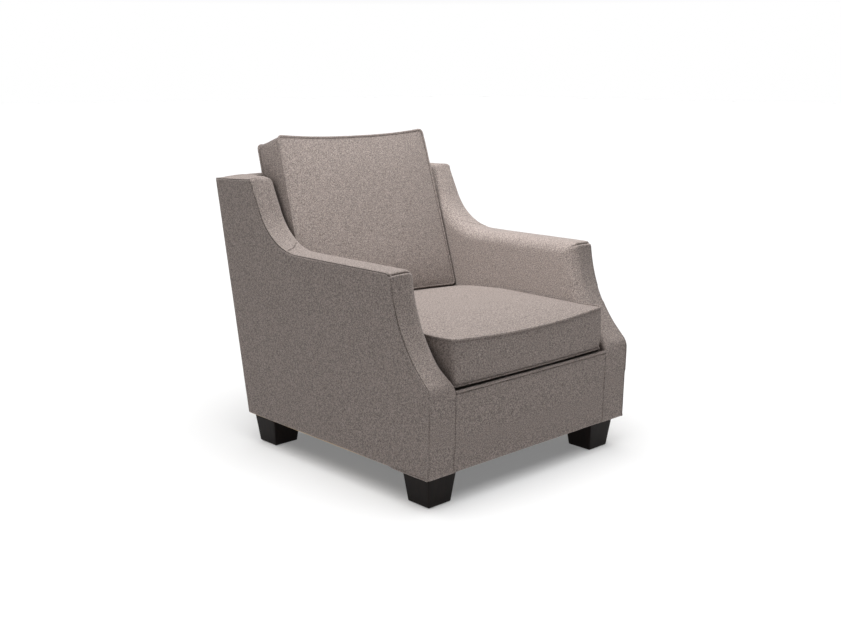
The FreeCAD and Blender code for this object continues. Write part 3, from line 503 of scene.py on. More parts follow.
@lru_cache(maxsize=None)
def grained_wood(name, light, dark, grain, roughness, gloss, axis):
    """Wood: long streaks along one axis, finer pores between them, and the sheen of its finish."""
    material, tree, shader, place = new_material(name, {"Roughness": roughness, "IOR": 1.5,
                                                        "Specular IOR Level": gloss})
    stretch = [1.0, 1.0, 1.0]
    stretch["XYZ".index(axis)] = 0.06
    streaks = blotches(tree, place, grain, 4.0, 0.6, tuple(stretch))
    pores = blotches(tree, place, grain / 4, 2.0, 0.7, tuple(stretch))
    mixed = add(tree, "ShaderNodeMix", {"data_type": "FLOAT", 0: 0.35}, {2: streaks, 3: pores}).outputs[0]
    shade = add(tree, "ShaderNodeValToRGB", {"stops": [(0.35, dark), (0.62, light)]}, {0: mixed}).outputs[0]
    dress(tree, shader, shade, mixed, 0.15 * MM, 0.5)
    return material


@lru_cache(maxsize=None)
def espresso_beech():
    """Beech stained espresso and lacquered: nearly black, a fine vertical grain and a soft satin highlight."""
    shades = colours()
    return grained_wood("beech_espresso_lacquered", "#170F0C", shades.foot_wood, 7 * MM, 0.5, 0.11, "Z")


@lru_cache(maxsize=None)
def metal(name, light, dark, roughness, scratch):
    """Metal part: full metal with uneven drawn or stamped marks."""
    material, tree, shader, place = new_material(name, {"Metallic": 1.0, "Roughness": roughness})
    marks = blotches(tree, place, scratch, 3.0, 0.6)
    shade = add(tree, "ShaderNodeValToRGB", {"stops": [(0.35, dark), (0.65, light)]}, {0: marks}).outputs[0]
    dress(tree, shader, shade, marks, 0.05 * MM, 0.4)
    return material


@lru_cache(maxsize=None)
def foam():
    """Cut polyurethane foam: pale cream, matt, with open pores."""
    material, tree, shader, place = new_material("polyurethane_foam_cut", {"Roughness": 0.95, "IOR": 1.45,
                                                                           "Subsurface Weight": 0.1,
                                                                           "Subsurface Scale": 0.01})
    cells = add(tree, "ShaderNodeTexVoronoi", {"Scale": 1 / (2.5 * MM)}, {"Vector": place}).outputs[0]
    shade = add(tree, "ShaderNodeValToRGB", {"stops": [(0.0, "#C9B88A"), (0.6, "#EFE3BE")]}, {0: cells}).outputs[0]
    dress(tree, shader, shade, cells, 0.4 * MM, 0.7)
    return material


@lru_cache(maxsize=None)
def moulded_plastic():
    """Moulded polyethylene: off white, low gloss, with the faint grain of its mould."""
    material, tree, shader, place = new_material("polyethylene_moulded", {"Roughness": 0.5, "IOR": 1.51})
    grain = blotches(tree, place, 1.5 * MM, 2.0)
    shade = add(tree, "ShaderNodeValToRGB", {"stops": [(0.3, "#BDBAB2"), (0.7, "#D2CFC8")]}, {0: grain}).outputs[0]
    dress(tree, shader, shade, grain, 0.05 * MM, 0.4)
    return material


def frame_finishes():
    """The finish of each of the record's slots that hidden CAD parts keep."""
    shades = colours()
    return {
        "frame_wood": lambda: grained_wood("pine_planed", shades.frame_wood, "#A9824F", 12 * MM, 0.6, 0.5, "X"),
        "plywood": lambda: grained_wood("birch_plywood_rotary_cut", "#D8BE93", "#BF9D6A", 22 * MM, 0.55, 0.5, "Y"),
        "foot_wood": espresso_beech,
        "glide_plastic": moulded_plastic,
        "steel": lambda: metal("spring_steel_drawn", "#8A8D90", "#5E6164", 0.34, 6 * MM),
        "zipper_metal": lambda: metal("zinc_die_cast_antiqued", "#8F836B", "#5F5543", 0.38, 3 * MM),
        "zipper_tape": lambda: woven_cloth("polyester_tape_woven", "#8C827C", "#6E655F", 1.6 * MM, 0.85),
        "black_cloth": lambda: woven_cloth("polypropylene_cambric_bonded", "#1E1E1F", "#101011", 2.2 * MM, 0.9),
        "deck_cloth": lambda: woven_cloth("cotton_decking_woven", "#8F8680", "#746B66", 2.6 * MM, 0.93),
        "upholstery_fabric": heathered_cloth,
        "filling": foam,
    }


# ---------------------------------------------------------------------------------------------------------------
# Shapes that pieces share
# ---------------------------------------------------------------------------------------------------------------


# How far the foot of the outside back stands behind the lowest rear point of its cover's solid.
BACK_FOOT_INSET = 4.1 * MM
INSIDE_BACK_TILT = math.atan2(164, 508)

# Sections of the panels' edges: (way in from the edge, height over the panel's plane), in millimetres.
ARM_OUTER_SEAM = ((9.0, -5.5), (3.2, -2.2), (1.0, -0.2), (-0.3, -0.6), (-1.1, -2.2))
OUTSIDE_ARM_EDGE = ((7.0, -6.5), (3.4, -4.2), (2.4, -2.6), (2.7, -1.3), (4.2, -0.5), (8.0, -0.1), (16.0, 0.1),
                    (30.0, 0.2))
FLAT_PANEL_EDGE = ((6.0, -7.0), (2.2, -5.0), (0.8, -2.6), (0.9, -1.0), (2.2, -0.2), (6.0, 0.4), (14.0, 0.9),
                   (30.0, 1.2))
DECK_EDGE = ((4.0, 1.0 - 17.0), (1.0, 3.0 - 17.0), (0.0, 6.0 - 17.0), (0.6, -6.0), (3.0, -3.0), (8.0, -1.4),
             (18.0, -0.6), (40.0, 0.0))
INSIDE_BACK_EDGE = ((7.0, -22.0), (2.0, -18.0), (0.0, -12.0), (0.8, -7.0), (3.5, -3.5), (9.0, -1.5), (20.0, -0.4),
                    (40.0, 0.4))
BACK_TOP_EDGE = ((4.0, -23.0), (1.0, -20.0), (0.0, -15.0), (0.3, -10.0), (1.8, -6.0), (5.0, -3.0), (11.0, -0.8),
                 (20.0, 0.8), (30.0, 1.6))


def panel_corners(half, bottom, top, radius, top_half=None, top_radius=None):
    """Corners of a panel that is even about its middle, as (across, up, radius)."""
    top_half = half if top_half is None else top_half
    top_radius = radius if top_radius is None else top_radius
    return [(-half, bottom, radius), (half, bottom, radius), (top_half, top, top_radius),
            (-top_half, top, top_radius)]


def arm_corners():
    """The side view of an arm as (y, z, radius), from its front foot up over the wing to the rear foot."""
    size = sizes()
    low, high = LOW["outside_arm_cover_right"], HIGH["outside_arm_cover_right"]
    top = HIGH["arm_top_rail_right"].z + 10 * MM
    front = low.y
    return [
        (front + 5 * MM, low.z, 0.0),
        (front - 0.4 * MM, size.knee_height, 45 * MM),
        (front + size.sweep_depth, size.sweep_height, 400 * MM),
        (front + size.arm_front, top, 20 * MM),
        (high.y - size.scoop, top, 200 * MM),
        (high.y - size.wing, high.z + 0.3 * MM, 12 * MM),
        (high.y, HIGH["outside_back_cover"].z, 0.0),
        (LOW["outside_back_cover"].y + BACK_FOOT_INSET, low.z, 0.0),
    ]


# Seams across an arm's padded edge: bend of the outline, way round it, how far the seam drifts back for each
# square metre of its way in, how far that takes it, depth, and lift of the cloth in front of it.
ARM_SEAMS = (
    (3, 0.45, 0.0, 0.004, 5.6 * MM, 2.8 * MM),
    (4, 0.225, 9.5, 0.050, 5.4 * MM, 1.2 * MM),
    (5, 0.60, 5.5, 0.032, 5.4 * MM, 1.8 * MM),
)


def padding_ripple(p):
    """The slight unevenness of cloth pulled over padding. Panels that meet flush share it."""
    return ripple(p, 70 * MM, 0.5 * MM, 1.0) + ripple(p, 22 * MM, 0.15 * MM, 7.0)


def arm_edge_shape(band):
    """How far the padded edge of an arm stands proud at a point: cross seams and the cloth's slight unevenness."""
    face, outer = LOW["inside_arm_pad_right"].x, LOW["outside_arm_cover_right"].x
    seams = []
    for bend, share, drift, _, depth, lift in ARM_SEAMS:
        start, ahead = band.point(("bend", bend, share), 0.0), band.point(("bend", bend, share + 0.02), 0.0)
        seams.append((start, (ahead - start).normalized(), drift, depth, lift))

    groove, lip_off, lip, seam_zone = 1.7 * MM, 6 * MM, 5 * MM, 90 * MM

    def shape(p):
        inwards = outer - abs(p.x)
        fade = smooth((abs(p.x) - face - 4 * MM) / (38 * MM))
        total = padding_ripple(p)
        for start, along, drift, depth, lift in seams:
            way = Vector((p.y, p.z)) - start
            if way.length > seam_zone:
                continue
            off = way.dot(along) - drift * inwards * inwards
            total -= depth * fade * math.exp(-(off / groove) ** 2)
            total += lift * fade * math.exp(-((off + lip_off) / lip) ** 2)
            total += lift * 0.5 * fade * math.exp(-((off - lip_off) / lip) ** 2)
        return total

    return shape


def arm_wrap(side, sign, material):
    """The padded cloth over an arm's front edge, top, wing and inside."""
    size = sizes()
    face = LOW["inside_arm_pad_right"].x
    outer = LOW["outside_arm_cover_right"].x
    deck = LOW["deck_pad"].z - 6 * MM
    over_columns, rounding_columns = 40, 14
    seam_margin = 8 * MM
    # The rear edge is the outside back's, so the padded edge ends at the outline's last corner but one.
    corners = arm_corners()[:7]
    plain = Outline(corners, 9 * MM, closed=False)
    dense = [(plain.run_to(bend, share) - seam_margin, plain.run_to(bend, share) + reach + seam_margin)
             for bend, share, _, reach, _, _ in ARM_SEAMS]
    band = Outline(corners, 8 * MM, closed=False, dense=dense)
    rows = []
    for station in band.stations:
        y, z = band.point(station, 0.0)
        # The padding grows from the thin front foot (0) to the full arm (1), and is thin again on the wing's top.
        rise = smooth((z - 0.312) / 0.085)
        wing_top = smooth((z - 0.79) / 0.02) * smooth((y - 0.368) / 0.034)
        radius = between(between(1.5 * MM, size.inner_radius, rise), 4 * MM, wing_top)
        crown = between(1.0 * MM, size.band_crown, rise)
        crown = between(crown, size.wing_crown, smooth((z - 0.80) / 0.03) * smooth((y - 0.300) / 0.05))
        crown *= smooth((HIGH["outside_arm_cover_right"].y + 1 * MM - y) / (16 * MM))
        edge = between(0.9 * MM, 1.6 * MM, rise)
        start = outer - 4.5 * MM
        profile = [(inset * MM, outer + x * MM) for inset, x in ARM_OUTER_SEAM] + [(-edge, start)]
        for k in range(1, over_columns + 1):
            share = k / over_columns
            x = between(start, face + radius, share)
            profile.append((-edge - (crown - edge) * math.sin(share * math.pi / 2), x))
        for k in range(1, rounding_columns + 1):
            angle = math.pi / 2 * k / rounding_columns
            profile.append((radius - crown - radius * math.cos(angle), face + radius * (1 - math.sin(angle))))
        tail = between(2.5 * MM, 7 * MM, rise)
        for k in (1, 2, 3):
            profile.append((radius - crown + tail * k, face))
        rows.append([Vector((sign * x, *band.point(station, inset))) for inset, x in profile])
    skin = Skin()
    skin.rows(rows, closed=False)
    # The inside face: under the padded edge, down behind the inside back's front, and forwards along the deck.
    inner = [row[-1] for row in rows if row[-1].z > deck]
    last = inner[-1]
    rear_low = LOW["inside_back_pad"].y + 20 * MM
    down, along = 24, 36
    loop = [(p.y, p.z) for p in inner]
    loop += [(between(last.y, rear_low, k / down), between(last.z, deck, k / down)) for k in range(1, down)]
    loop += [(between(rear_low, inner[0].y, k / along), deck) for k in range(along)]
    skin.patch(loop, 12 * MM, lambda y, z: (last.x, y, z))
    obj = skin.piece(f"arm_wrap_{side}", material, facing=(-sign, 0, 0), shape=arm_edge_shape(band),
                     thickness=3 * MM)
    return settle(obj, "chair", [f"inside_arm_pad_{side}", f"arm_band_{side}"])


def pillow_panel(corners, section, place, spacing, fill_spacing):
    """A padded panel: rings from its tucked edge over to its face, then the face itself."""
    outline = Outline(corners, spacing)
    skin = Skin()
    rows = [[place(p.x, p.y, height * MM) for p in outline.ring(inset * MM)] for inset, height in section]
    skin.rows(rows)
    inset, height = section[-1]
    skin.patch(outline.ring(inset * MM), fill_spacing, lambda a, b: place(a, b, height * MM))
    return skin


def outside_arm(side, sign, material):
    """The flat outside panel of an arm, which lies just inside the padded edge's seam."""
    outer = HIGH["outside_arm_cover_right"].x
    corners = [(y, z, max(r, 3 * MM)) for y, z, r in arm_corners()]
    outline = Outline(corners, 10 * MM)
    front_top = between(corners[3][0], corners[4][0], 0.03)
    rows = []
    for inset, height in OUTSIDE_ARM_EDGE:
        row = []
        for station in outline.stations:
            y, z = outline.point(station, 0.0)
            # Down the front edge the seam is pulled tight, so there the panel meets the padded edge.
            tight = smooth((front_top - y) / (25 * MM)) * (1 - smooth((inset - 8) / 20))
            closer = between(1.6, 3.3, smooth((0.36 - z) / 0.05)) * tight
            y, z = outline.point(station, (inset - closer) * MM)
            row.append(Vector((sign * (outer + height * (1 - 0.96 * tight) * MM), y, z)))
        rows.append(row)
    skin = Skin()
    skin.rows(rows)
    inset, height = OUTSIDE_ARM_EDGE[-1]
    face = outer + height * MM
    skin.patch(outline.ring(inset * MM), 16 * MM, lambda y, z: Vector((sign * face, y, z)))

    def shape(p):
        return ripple(p, 160 * MM, 0.9 * MM, 4.0) + ripple(p, 45 * MM, 0.2 * MM, 9.0, (1, 1, 0.6))

    obj = skin.piece(f"outside_arm_{side}", material, facing=(sign, 0, 0), shape=shape, thickness=2 * MM)
    return settle(obj, "chair", [f"outside_arm_cover_{side}"])


# ---------------------------------------------------------------------------------------------------------------
# Cushions
# ---------------------------------------------------------------------------------------------------------------


WELT_CREASE = 2.3 * MM
MOST_SWELL = 22 * MM
STUFFING_FRAMES = 20
EVENING_ROUNDS = 10
CUSHION_SPACING = 7.5 * MM
BOXING_ROWS = 14
SEAM_INSETS = (0.0, 1.6 * MM, 3.6 * MM, 7 * MM, 12 * MM)


def inflate(obj, pinned, loose, pressure, slack):
    """Fills a closed cushion like a stuffed cover. Pinned points, such as its seams, stay where they are, and a
    point moves in full where loose is 1. slack is how far the cloth may stretch, as a share of its length."""
    rest = np.array([v.co for v in obj.data.vertices], float)
    group = obj.vertex_groups.new(name="sewn")
    for weight in sorted(set(np.round(pinned, 2))):
        if weight > 0:
            group.add([int(i) for i in np.nonzero(np.round(pinned, 2) == weight)[0]], float(weight), "REPLACE")
    cloth = obj.modifiers.new("Stuffing", "CLOTH")
    cloth.point_cache.frame_start = 1
    cloth.point_cache.frame_end = STUFFING_FRAMES
    cloth.settings.quality = 5
    cloth.settings.mass = 0.3
    cloth.settings.tension_stiffness = 25
    cloth.settings.compression_stiffness = 25
    cloth.settings.shear_stiffness = 12
    cloth.settings.bending_stiffness = 1.5
    cloth.settings.use_pressure = True
    cloth.settings.uniform_pressure_force = pressure
    cloth.settings.vertex_group_mass = group.name
    cloth.settings.shrink_min = -slack
    cloth.settings.effector_weights.gravity = 0
    cloth.collision_settings.use_collision = False
    scene = bpy.context.scene
    for number in range(1, STUFFING_FRAMES + 1):
        scene.frame_set(number)
    puffed = obj.evaluated_get(bpy.context.evaluated_depsgraph_get())
    swollen = np.array([v.co for v in puffed.data.vertices], float)
    obj.modifiers.remove(cloth)
    scene.frame_set(1)
    step = swollen - rest
    ends = np.empty(len(obj.data.edges) * 2, int)
    obj.data.edges.foreach_get("vertices", ends)
    first, second = ends.reshape(-1, 2).T
    around = np.bincount(np.concatenate([first, second]), minlength=len(rest))[:, None]
    for _ in range(EVENING_ROUNDS):
        # A well filled cover shows its fullness but no fine creases.
        total = np.zeros_like(step)
        np.add.at(total, first, step[second])
        np.add.at(total, second, step[first])
        step = (step + total / np.maximum(around, 1)) / 2
    step *= np.array([smooth(gap) for gap in loose])[:, None]
    far = np.linalg.norm(step, axis=1, keepdims=True)
    step *= np.minimum(1, MOST_SWELL / np.maximum(far, 1e-9))
    obj.data.vertices.foreach_set("co", (rest + step).astype(np.float32).ravel())
    obj.data.update()
    obj.vertex_groups.clear()


def seam_pin(gap):
    """How firmly a point of the cover is held at this distance from a seam."""
    return 1.0 if gap < 3.5 * MM else 0.3 * (1 - smooth(gap / (14 * MM)))


def rounded(share):
    """How far a boxing stands out between its two seams."""
    return math.sin(math.pi * share) ** 0.6 if 0 < share < 1 else 0.0


def pillow(u, v):
    """Fullness of a cushion's face, 1 in its middle and 0 at its edges, where u or v is 1."""
    return ((1 - u ** 4) * (1 - v ** 4)) ** 0.75 if u < 1 and v < 1 else 0.0


def cushion(name, face, back, face_seam, back_seam, bulge, material, rests, seams, pressure, slack, slot):
    """A boxed cushion. face and back are outlines in step, and face_seam and back_seam place a point of them.
    bulge is how far the boxing stands out, rests how firmly a point is held, seams how far it is from a seam, and
    slot moves the points behind the zipper."""
    skin = Skin()
    rim_face, rim_back = face.ring(0.0), back.ring(0.0)
    boxing = []
    for k in range(BOXING_ROWS + 1):
        share = smooth(k / BOXING_ROWS)
        boxing.append([Vector(face_seam(f.x, f.y)).lerp(Vector(back_seam(b.x, b.y)), share) + bulge(f, share)
                       for f, b in zip(rim_face, rim_back)])
    skin.rows(boxing)
    for outline, seam in ((face, face_seam), (back, back_seam)):
        skin.rows([[seam(p.x, p.y) for p in outline.ring(inset)] for inset in SEAM_INSETS])
        skin.patch(outline.ring(SEAM_INSETS[-1]), CUSHION_SPACING, seam)
    for p in skin.points:
        slot(p)
    obj = skin.piece(name, material)
    volume = bmesh.new()
    volume.from_mesh(obj.data)
    if volume.calc_volume(signed=True) < 0:
        bmesh.ops.reverse_faces(volume, faces=volume.faces)
        volume.to_mesh(obj.data)
    volume.free()
    pins = np.array([rests(v.co) for v in obj.data.vertices], float)
    loose = [(seams(v.co) - 3 * MM) / (20 * MM) for v in obj.data.vertices]
    inflate(obj, pins, loose, pressure, slack)
    # The seams are drawn in, so the welts lie in a crease.
    crease_width = 2.6 * MM
    drawn = [v.normal * (WELT_CREASE * math.exp(-(seams(v.co) / crease_width) ** 2)) for v in obj.data.vertices]
    for vertex, by in zip(obj.data.vertices, drawn):
        vertex.co -= by
    finer = obj.modifiers.new("Smooth", "SUBSURF")
    finer.levels = finer.render_levels = 1
    return obj


def stuffing(name, face, back, face_seam, back_seam, towards_back, body, node):
    """The block inside a cushion cover, a little smaller than the cover all round."""
    inset, deep, shallower, spacing = 9 * MM, 6 * MM, 0.8, 20 * MM
    step = Vector(towards_back) * deep
    upper = [Vector(face_seam(p.x, p.y)) + step for p in face.ring(inset)]
    lower = [Vector(back_seam(p.x, p.y)) - step * shallower for p in back.ring(inset)]
    skin = Skin()
    skin.rows([[a.lerp(b, share) for a, b in zip(upper, lower)] for share in (0, 0.04, 0.5, 0.96, 1)])
    skin.patch(face.ring(inset), spacing, lambda a, b: Vector(face_seam(a, b)) + step)
    skin.patch(back.ring(inset), spacing, lambda a, b: Vector(back_seam(a, b)) - step * shallower)
    obj = skin.piece(name, foam(), shape=lambda p: ripple(p, 30 * MM, 0.5 * MM, 2.0))
    return settle(obj, body, [node])


def nearest_seam(*seams):
    """A function that gives how far a point is from the nearer of these seam lines."""
    line = np.array([tuple(p) for seam in seams for p in seam])

    def distance(p):
        return float(np.sqrt(((line - np.array(p)) ** 2).sum(1).min()))

    return distance


def seat_plan(x, y):
    """Where the seat cushion's plan point lies once its front has bowed out."""
    size = sizes()
    half = HIGH["seat_cushion_cover"].x
    front = LOW["seat_cushion_cover"].y
    near = smooth((front + 0.18 - y) / 0.16)
    return x, y - size.seat_bow * near * (1 - min(1.0, abs(x) / half) ** 2)


def eased_curve(stops, blur):
    """A smooth curve through roughly these (place, value) stops."""
    at = np.linspace(stops[0][0], stops[-1][0], 400)
    value = np.interp(at, *zip(*stops))
    width = max(3, int(blur / (at[1] - at[0])) | 1)
    value = np.convolve(np.pad(value, width // 2, mode="edge"), np.ones(width) / width, mode="valid")
    return lambda place: float(np.interp(place, at, value))


# Height of the seat cushion's top seam along its depth, at its middle and at its sides. Its rear is pressed down
# under the back cushion.
SEAM_MIDDLE = eased_curve([(-0.50, 0.446), (-0.16, 0.450), (0.0, 0.448), (0.10, 0.445), (0.26, 0.443)], 0.05)
SEAM_SIDE = eased_curve([(-0.50, 0.461), (-0.45, 0.459), (-0.40, 0.456), (-0.16, 0.457), (-0.08, 0.456),
                         (0.0, 0.449), (0.08, 0.441), (0.16, 0.433), (0.26, 0.432)], 0.05)


def seat_seam_height(x, y):
    """Height of the seat cushion's top seam, and of the sheet through it."""
    half = HIGH["seat_cushion_cover"].x
    return between(SEAM_MIDDLE(y), SEAM_SIDE(y), min(1.0, abs(x) / half) ** 2)


def seat_top(x, y):
    size = sizes()
    low, high = LOW["seat_cushion_cover"], HIGH["seat_cushion_cover"]
    centre, half = (low + high) / 2, (high - low) / 2
    u = min(1.0, abs(x - centre.x) / half.x)
    v = min(1.0, abs(y - centre.y) / half.y)
    z = seat_seam_height(x, y) + size.seat_crown * pillow(u, v)
    # The back cushion stands on the rear of the seat and presses it down.
    pressed = smooth((y - 0.03) / 0.11)
    z = between(z, min(z, 446 * MM - 11 * MM * u * u), pressed)
    px, py = seat_plan(x, y)
    return px, py, z


def seat_bottom(x, y):
    px, py = seat_plan(x, y)
    low = LOW["seat_cushion_cover"]
    curl = 2.5 * MM * smooth((low.y + 45 * MM - y) / (50 * MM))
    return px, between(y, py, 0.6), low.z + 2.8 * MM + curl


def build_seat_cushion(material):
    low, high = LOW["seat_cushion_cover"], HIGH["seat_cushion_cover"]
    half = high.x - 0.5 * MM
    front = low.y + 5 * MM
    face, back = (Outline(panel_corners(half, start, high.y, 15 * MM), CUSHION_SPACING)
                  for start in (front, front + 2 * MM))

    def bulge(f, share):
        ahead = smooth((front + 40 * MM - f.y) / (60 * MM))
        beside = smooth((abs(f.x) - half + 30 * MM) / (30 * MM))
        push = Vector((math.copysign(1.2 * MM, f.x) * beside, -6.0 * MM * ahead, 0))
        return push * rounded(share)

    top_line = [Vector(seat_top(p.x, p.y)) for p in face.ring(0.0)]
    bottom_line = [Vector(seat_bottom(p.x, p.y)) for p in back.ring(0.0)]
    to_seam = nearest_seam(top_line, bottom_line)
    zip_y = high.y - 6 * MM

    def rests(p):
        if (p.z < low.z + 3.5 * MM and p.y > low.y + 40 * MM) or p.y > zip_y:
            return 1.0
        under = smooth((p.y - 0.11) / 0.05) if p.z > 0.43 else 0.0
        beside = 0.85 * smooth((abs(p.x) - half + 8 * MM) / (6 * MM))
        return max(seam_pin(to_seam(p)), under, beside)

    tape_low, tape_high = LOW["seat_cushion_zipper"], HIGH["seat_cushion_zipper"]

    def slot(p):
        """Tucks the cloth in behind the zipper."""
        if abs(p.x) < tape_high.x - 4 * MM and tape_low.z + 5 * MM < p.z < tape_high.z - 3 * MM and p.y > zip_y:
            p.y = tape_low.y - 0.6 * MM

    obj = cushion("seat_cushion", face, back, seat_top, seat_bottom, bulge, material, rests, to_seam,
                  pressure=2.8, slack=0.004, slot=slot)
    settle(obj, "seat_cushion", ["seat_cushion_cover"])
    stuffing("seat_cushion_core", face, back, seat_top, seat_bottom, (0, 0, -1), "seat_cushion",
             "seat_cushion_foam")
    for label, line, node, lift in (("top", top_line, "seat_cushion_top_welt", 0.4),
                                    ("bottom", bottom_line, "seat_cushion_bottom_welt", -0.5)):
        make_welt(f"seat_welt_{label}", line, Vector((0, 0, 1)), lift * MM, "seat_cushion", node, material)


# How far a welt's middle stands out of its seam, as a share of its radius.
WELT_PROUD = 0.25


def make_welt(name, line, up, lift, body, node, material):
    """A fabric covered cord sewn into a closed seam, standing out from it."""
    size = sizes()
    centre = sum(line, Vector()) / len(line)
    path = []
    count = len(line)
    for i, p in enumerate(line):
        along = (line[(i + 1) % count] - line[i - 1]).normalized()
        out = along.cross(up).normalized()
        if out.dot(p - centre) < 0:
            out = -out
        path.append(p + out * size.welt_radius * WELT_PROUD + up * lift)
    skin = Skin()
    rows = tube(path, size.welt_radius, closed=True, uneven=0.22 * MM)
    skin.rows(rows + [rows[0]])
    obj = skin.piece(name, material, weld=1e-5)
    return settle(obj, body, [node])


RAKE = math.radians(17.1)
UP_SLOPE = Vector((0, math.sin(RAKE), math.cos(RAKE)))
INTO_BACK = Vector((0, math.cos(RAKE), -math.sin(RAKE)))


def back_point(across, up, deep):
    """A point of the back cushion from its place across, up its slope and into its thickness."""
    foot = Vector((0, LOW["back_cushion_cover"].y, LOW["back_cushion_cover"].z))
    return foot + Vector((across, 0, 0)) + UP_SLOPE * up + INTO_BACK * deep


def build_back_cushion(material):
    size = sizes()
    wide, narrow, tall, thick = 0.3135, 0.2995, 0.531, 0.112
    foot = thick * math.tan(RAKE)
    face, back = (Outline(panel_corners(wide, bottom, tall, 14 * MM, top_half=narrow), CUSHION_SPACING)
                  for bottom in (-8 * MM, foot - 3 * MM))

    def sagged(a, b):
        drop = size.back_sag * (1 - min(1.0, abs(a) / narrow) ** 2.4) * smooth((b - 0.34) / (tall - 0.34))
        lift = 10 * MM * (1 - min(1.0, abs(a) / wide) ** 2) * (1 - smooth(b / 0.10))
        return a + 4 * MM * max(0.0, b) / tall, b - drop + lift

    def front(a, b):
        u, v = min(1.0, abs(a) / wide), min(1.0, abs(b - tall / 2) / (tall / 2))
        return tuple(back_point(*sagged(a, b), 2 * MM - size.back_crown * pillow(u, v)))

    def rear(a, b):
        return tuple(back_point(*sagged(a, b), thick))

    def bulge(f, share):
        above = smooth((f.y - tall + 30 * MM) / (25 * MM))
        beside = smooth((abs(f.x) - narrow + 30 * MM) / (30 * MM))
        return (Vector((math.copysign(3 * MM, f.x) * beside * smooth((f.y - 0.1) / 0.2), 0, 0))
                + UP_SLOPE * (3 * MM * above)) * rounded(share)

    front_line = [Vector(front(p.x, p.y)) for p in face.ring(0.0)]
    rear_line = [Vector(rear(p.x, p.y)) for p in back.ring(0.0)]
    to_seam = nearest_seam(front_line, rear_line)
    origin = back_point(0, 0, 0)

    def rests(p):
        rel = p - origin
        up, deep = rel.dot(UP_SLOPE), rel.dot(INTO_BACK)
        if deep > thick - 1.5 * MM or up < deep * math.tan(RAKE) + 9 * MM:
            return 1.0
        beside = 0.5 * smooth((abs(p.x) - wide + 12 * MM) / (8 * MM)) * (1 - smooth((up - 0.25) / 0.2))
        return max(seam_pin(to_seam(p)), beside)

    tape_low, tape_high = LOW["back_cushion_zipper"], HIGH["back_cushion_zipper"]

    def slot(p):
        """Tucks the cloth in behind the zipper."""
        if (abs(p.x) < tape_high.x - 4 * MM and tape_low.y + 3 * MM < p.y < tape_high.y - 3 * MM
                and p.z < tape_high.z + 4 * MM):
            p.z = tape_high.z + 0.6 * MM

    obj = cushion("back_cushion", face, back, front, rear, bulge, material, rests, to_seam,
                  pressure=2.2, slack=0.002, slot=slot)
    settle(obj, "back_cushion", ["back_cushion_cover"])
    stuffing("back_cushion_core", face, back, front, rear, INTO_BACK, "back_cushion", "back_cushion_filling")
    for label, line, node, lift in (("front", front_line, "back_cushion_front_welt", -0.4),
                                    ("rear", rear_line, "back_cushion_rear_welt", 0.5)):
        make_welt(f"back_welt_{label}", line, INTO_BACK, lift * MM, "back_cushion", node, material)


# ---------------------------------------------------------------------------------------------------------------
# Operators
# ---------------------------------------------------------------------------------------------------------------


class ArmchairOperator:
    bl_options = {"REGISTER"}


class ARMCHAIR_OT_finish_frame(ArmchairOperator, bpy.types.Operator):
    """Give every CAD part that stays visible the finish of its material slot"""

    bl_idname = "armchair.finish_frame"
    bl_label = "Finish frame parts"

    def execute(self, context):
        finishes = frame_finishes()
        for name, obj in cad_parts.items():
            if not obj.data.materials:
                raise RuntimeError(f"{name} has no material slot")
            for k, old in enumerate(obj.data.materials):
                slot = old.name.split(".")[0]
                obj.data.materials[k] = finishes[slot]()
        return {"FINISHED"}


class ARMCHAIR_OT_arms(ArmchairOperator, bpy.types.Operator):
    """Build the padded arm wraps and the flat outside arm panels"""

    bl_idname = "armchair.arms"
    bl_label = "Arms"

    def execute(self, context):
        material = heathered_cloth()
        for side, sign in SIDES:
            arm_wrap(side, sign, material)
            outside_arm(side, sign, material)
        return {"FINISHED"}


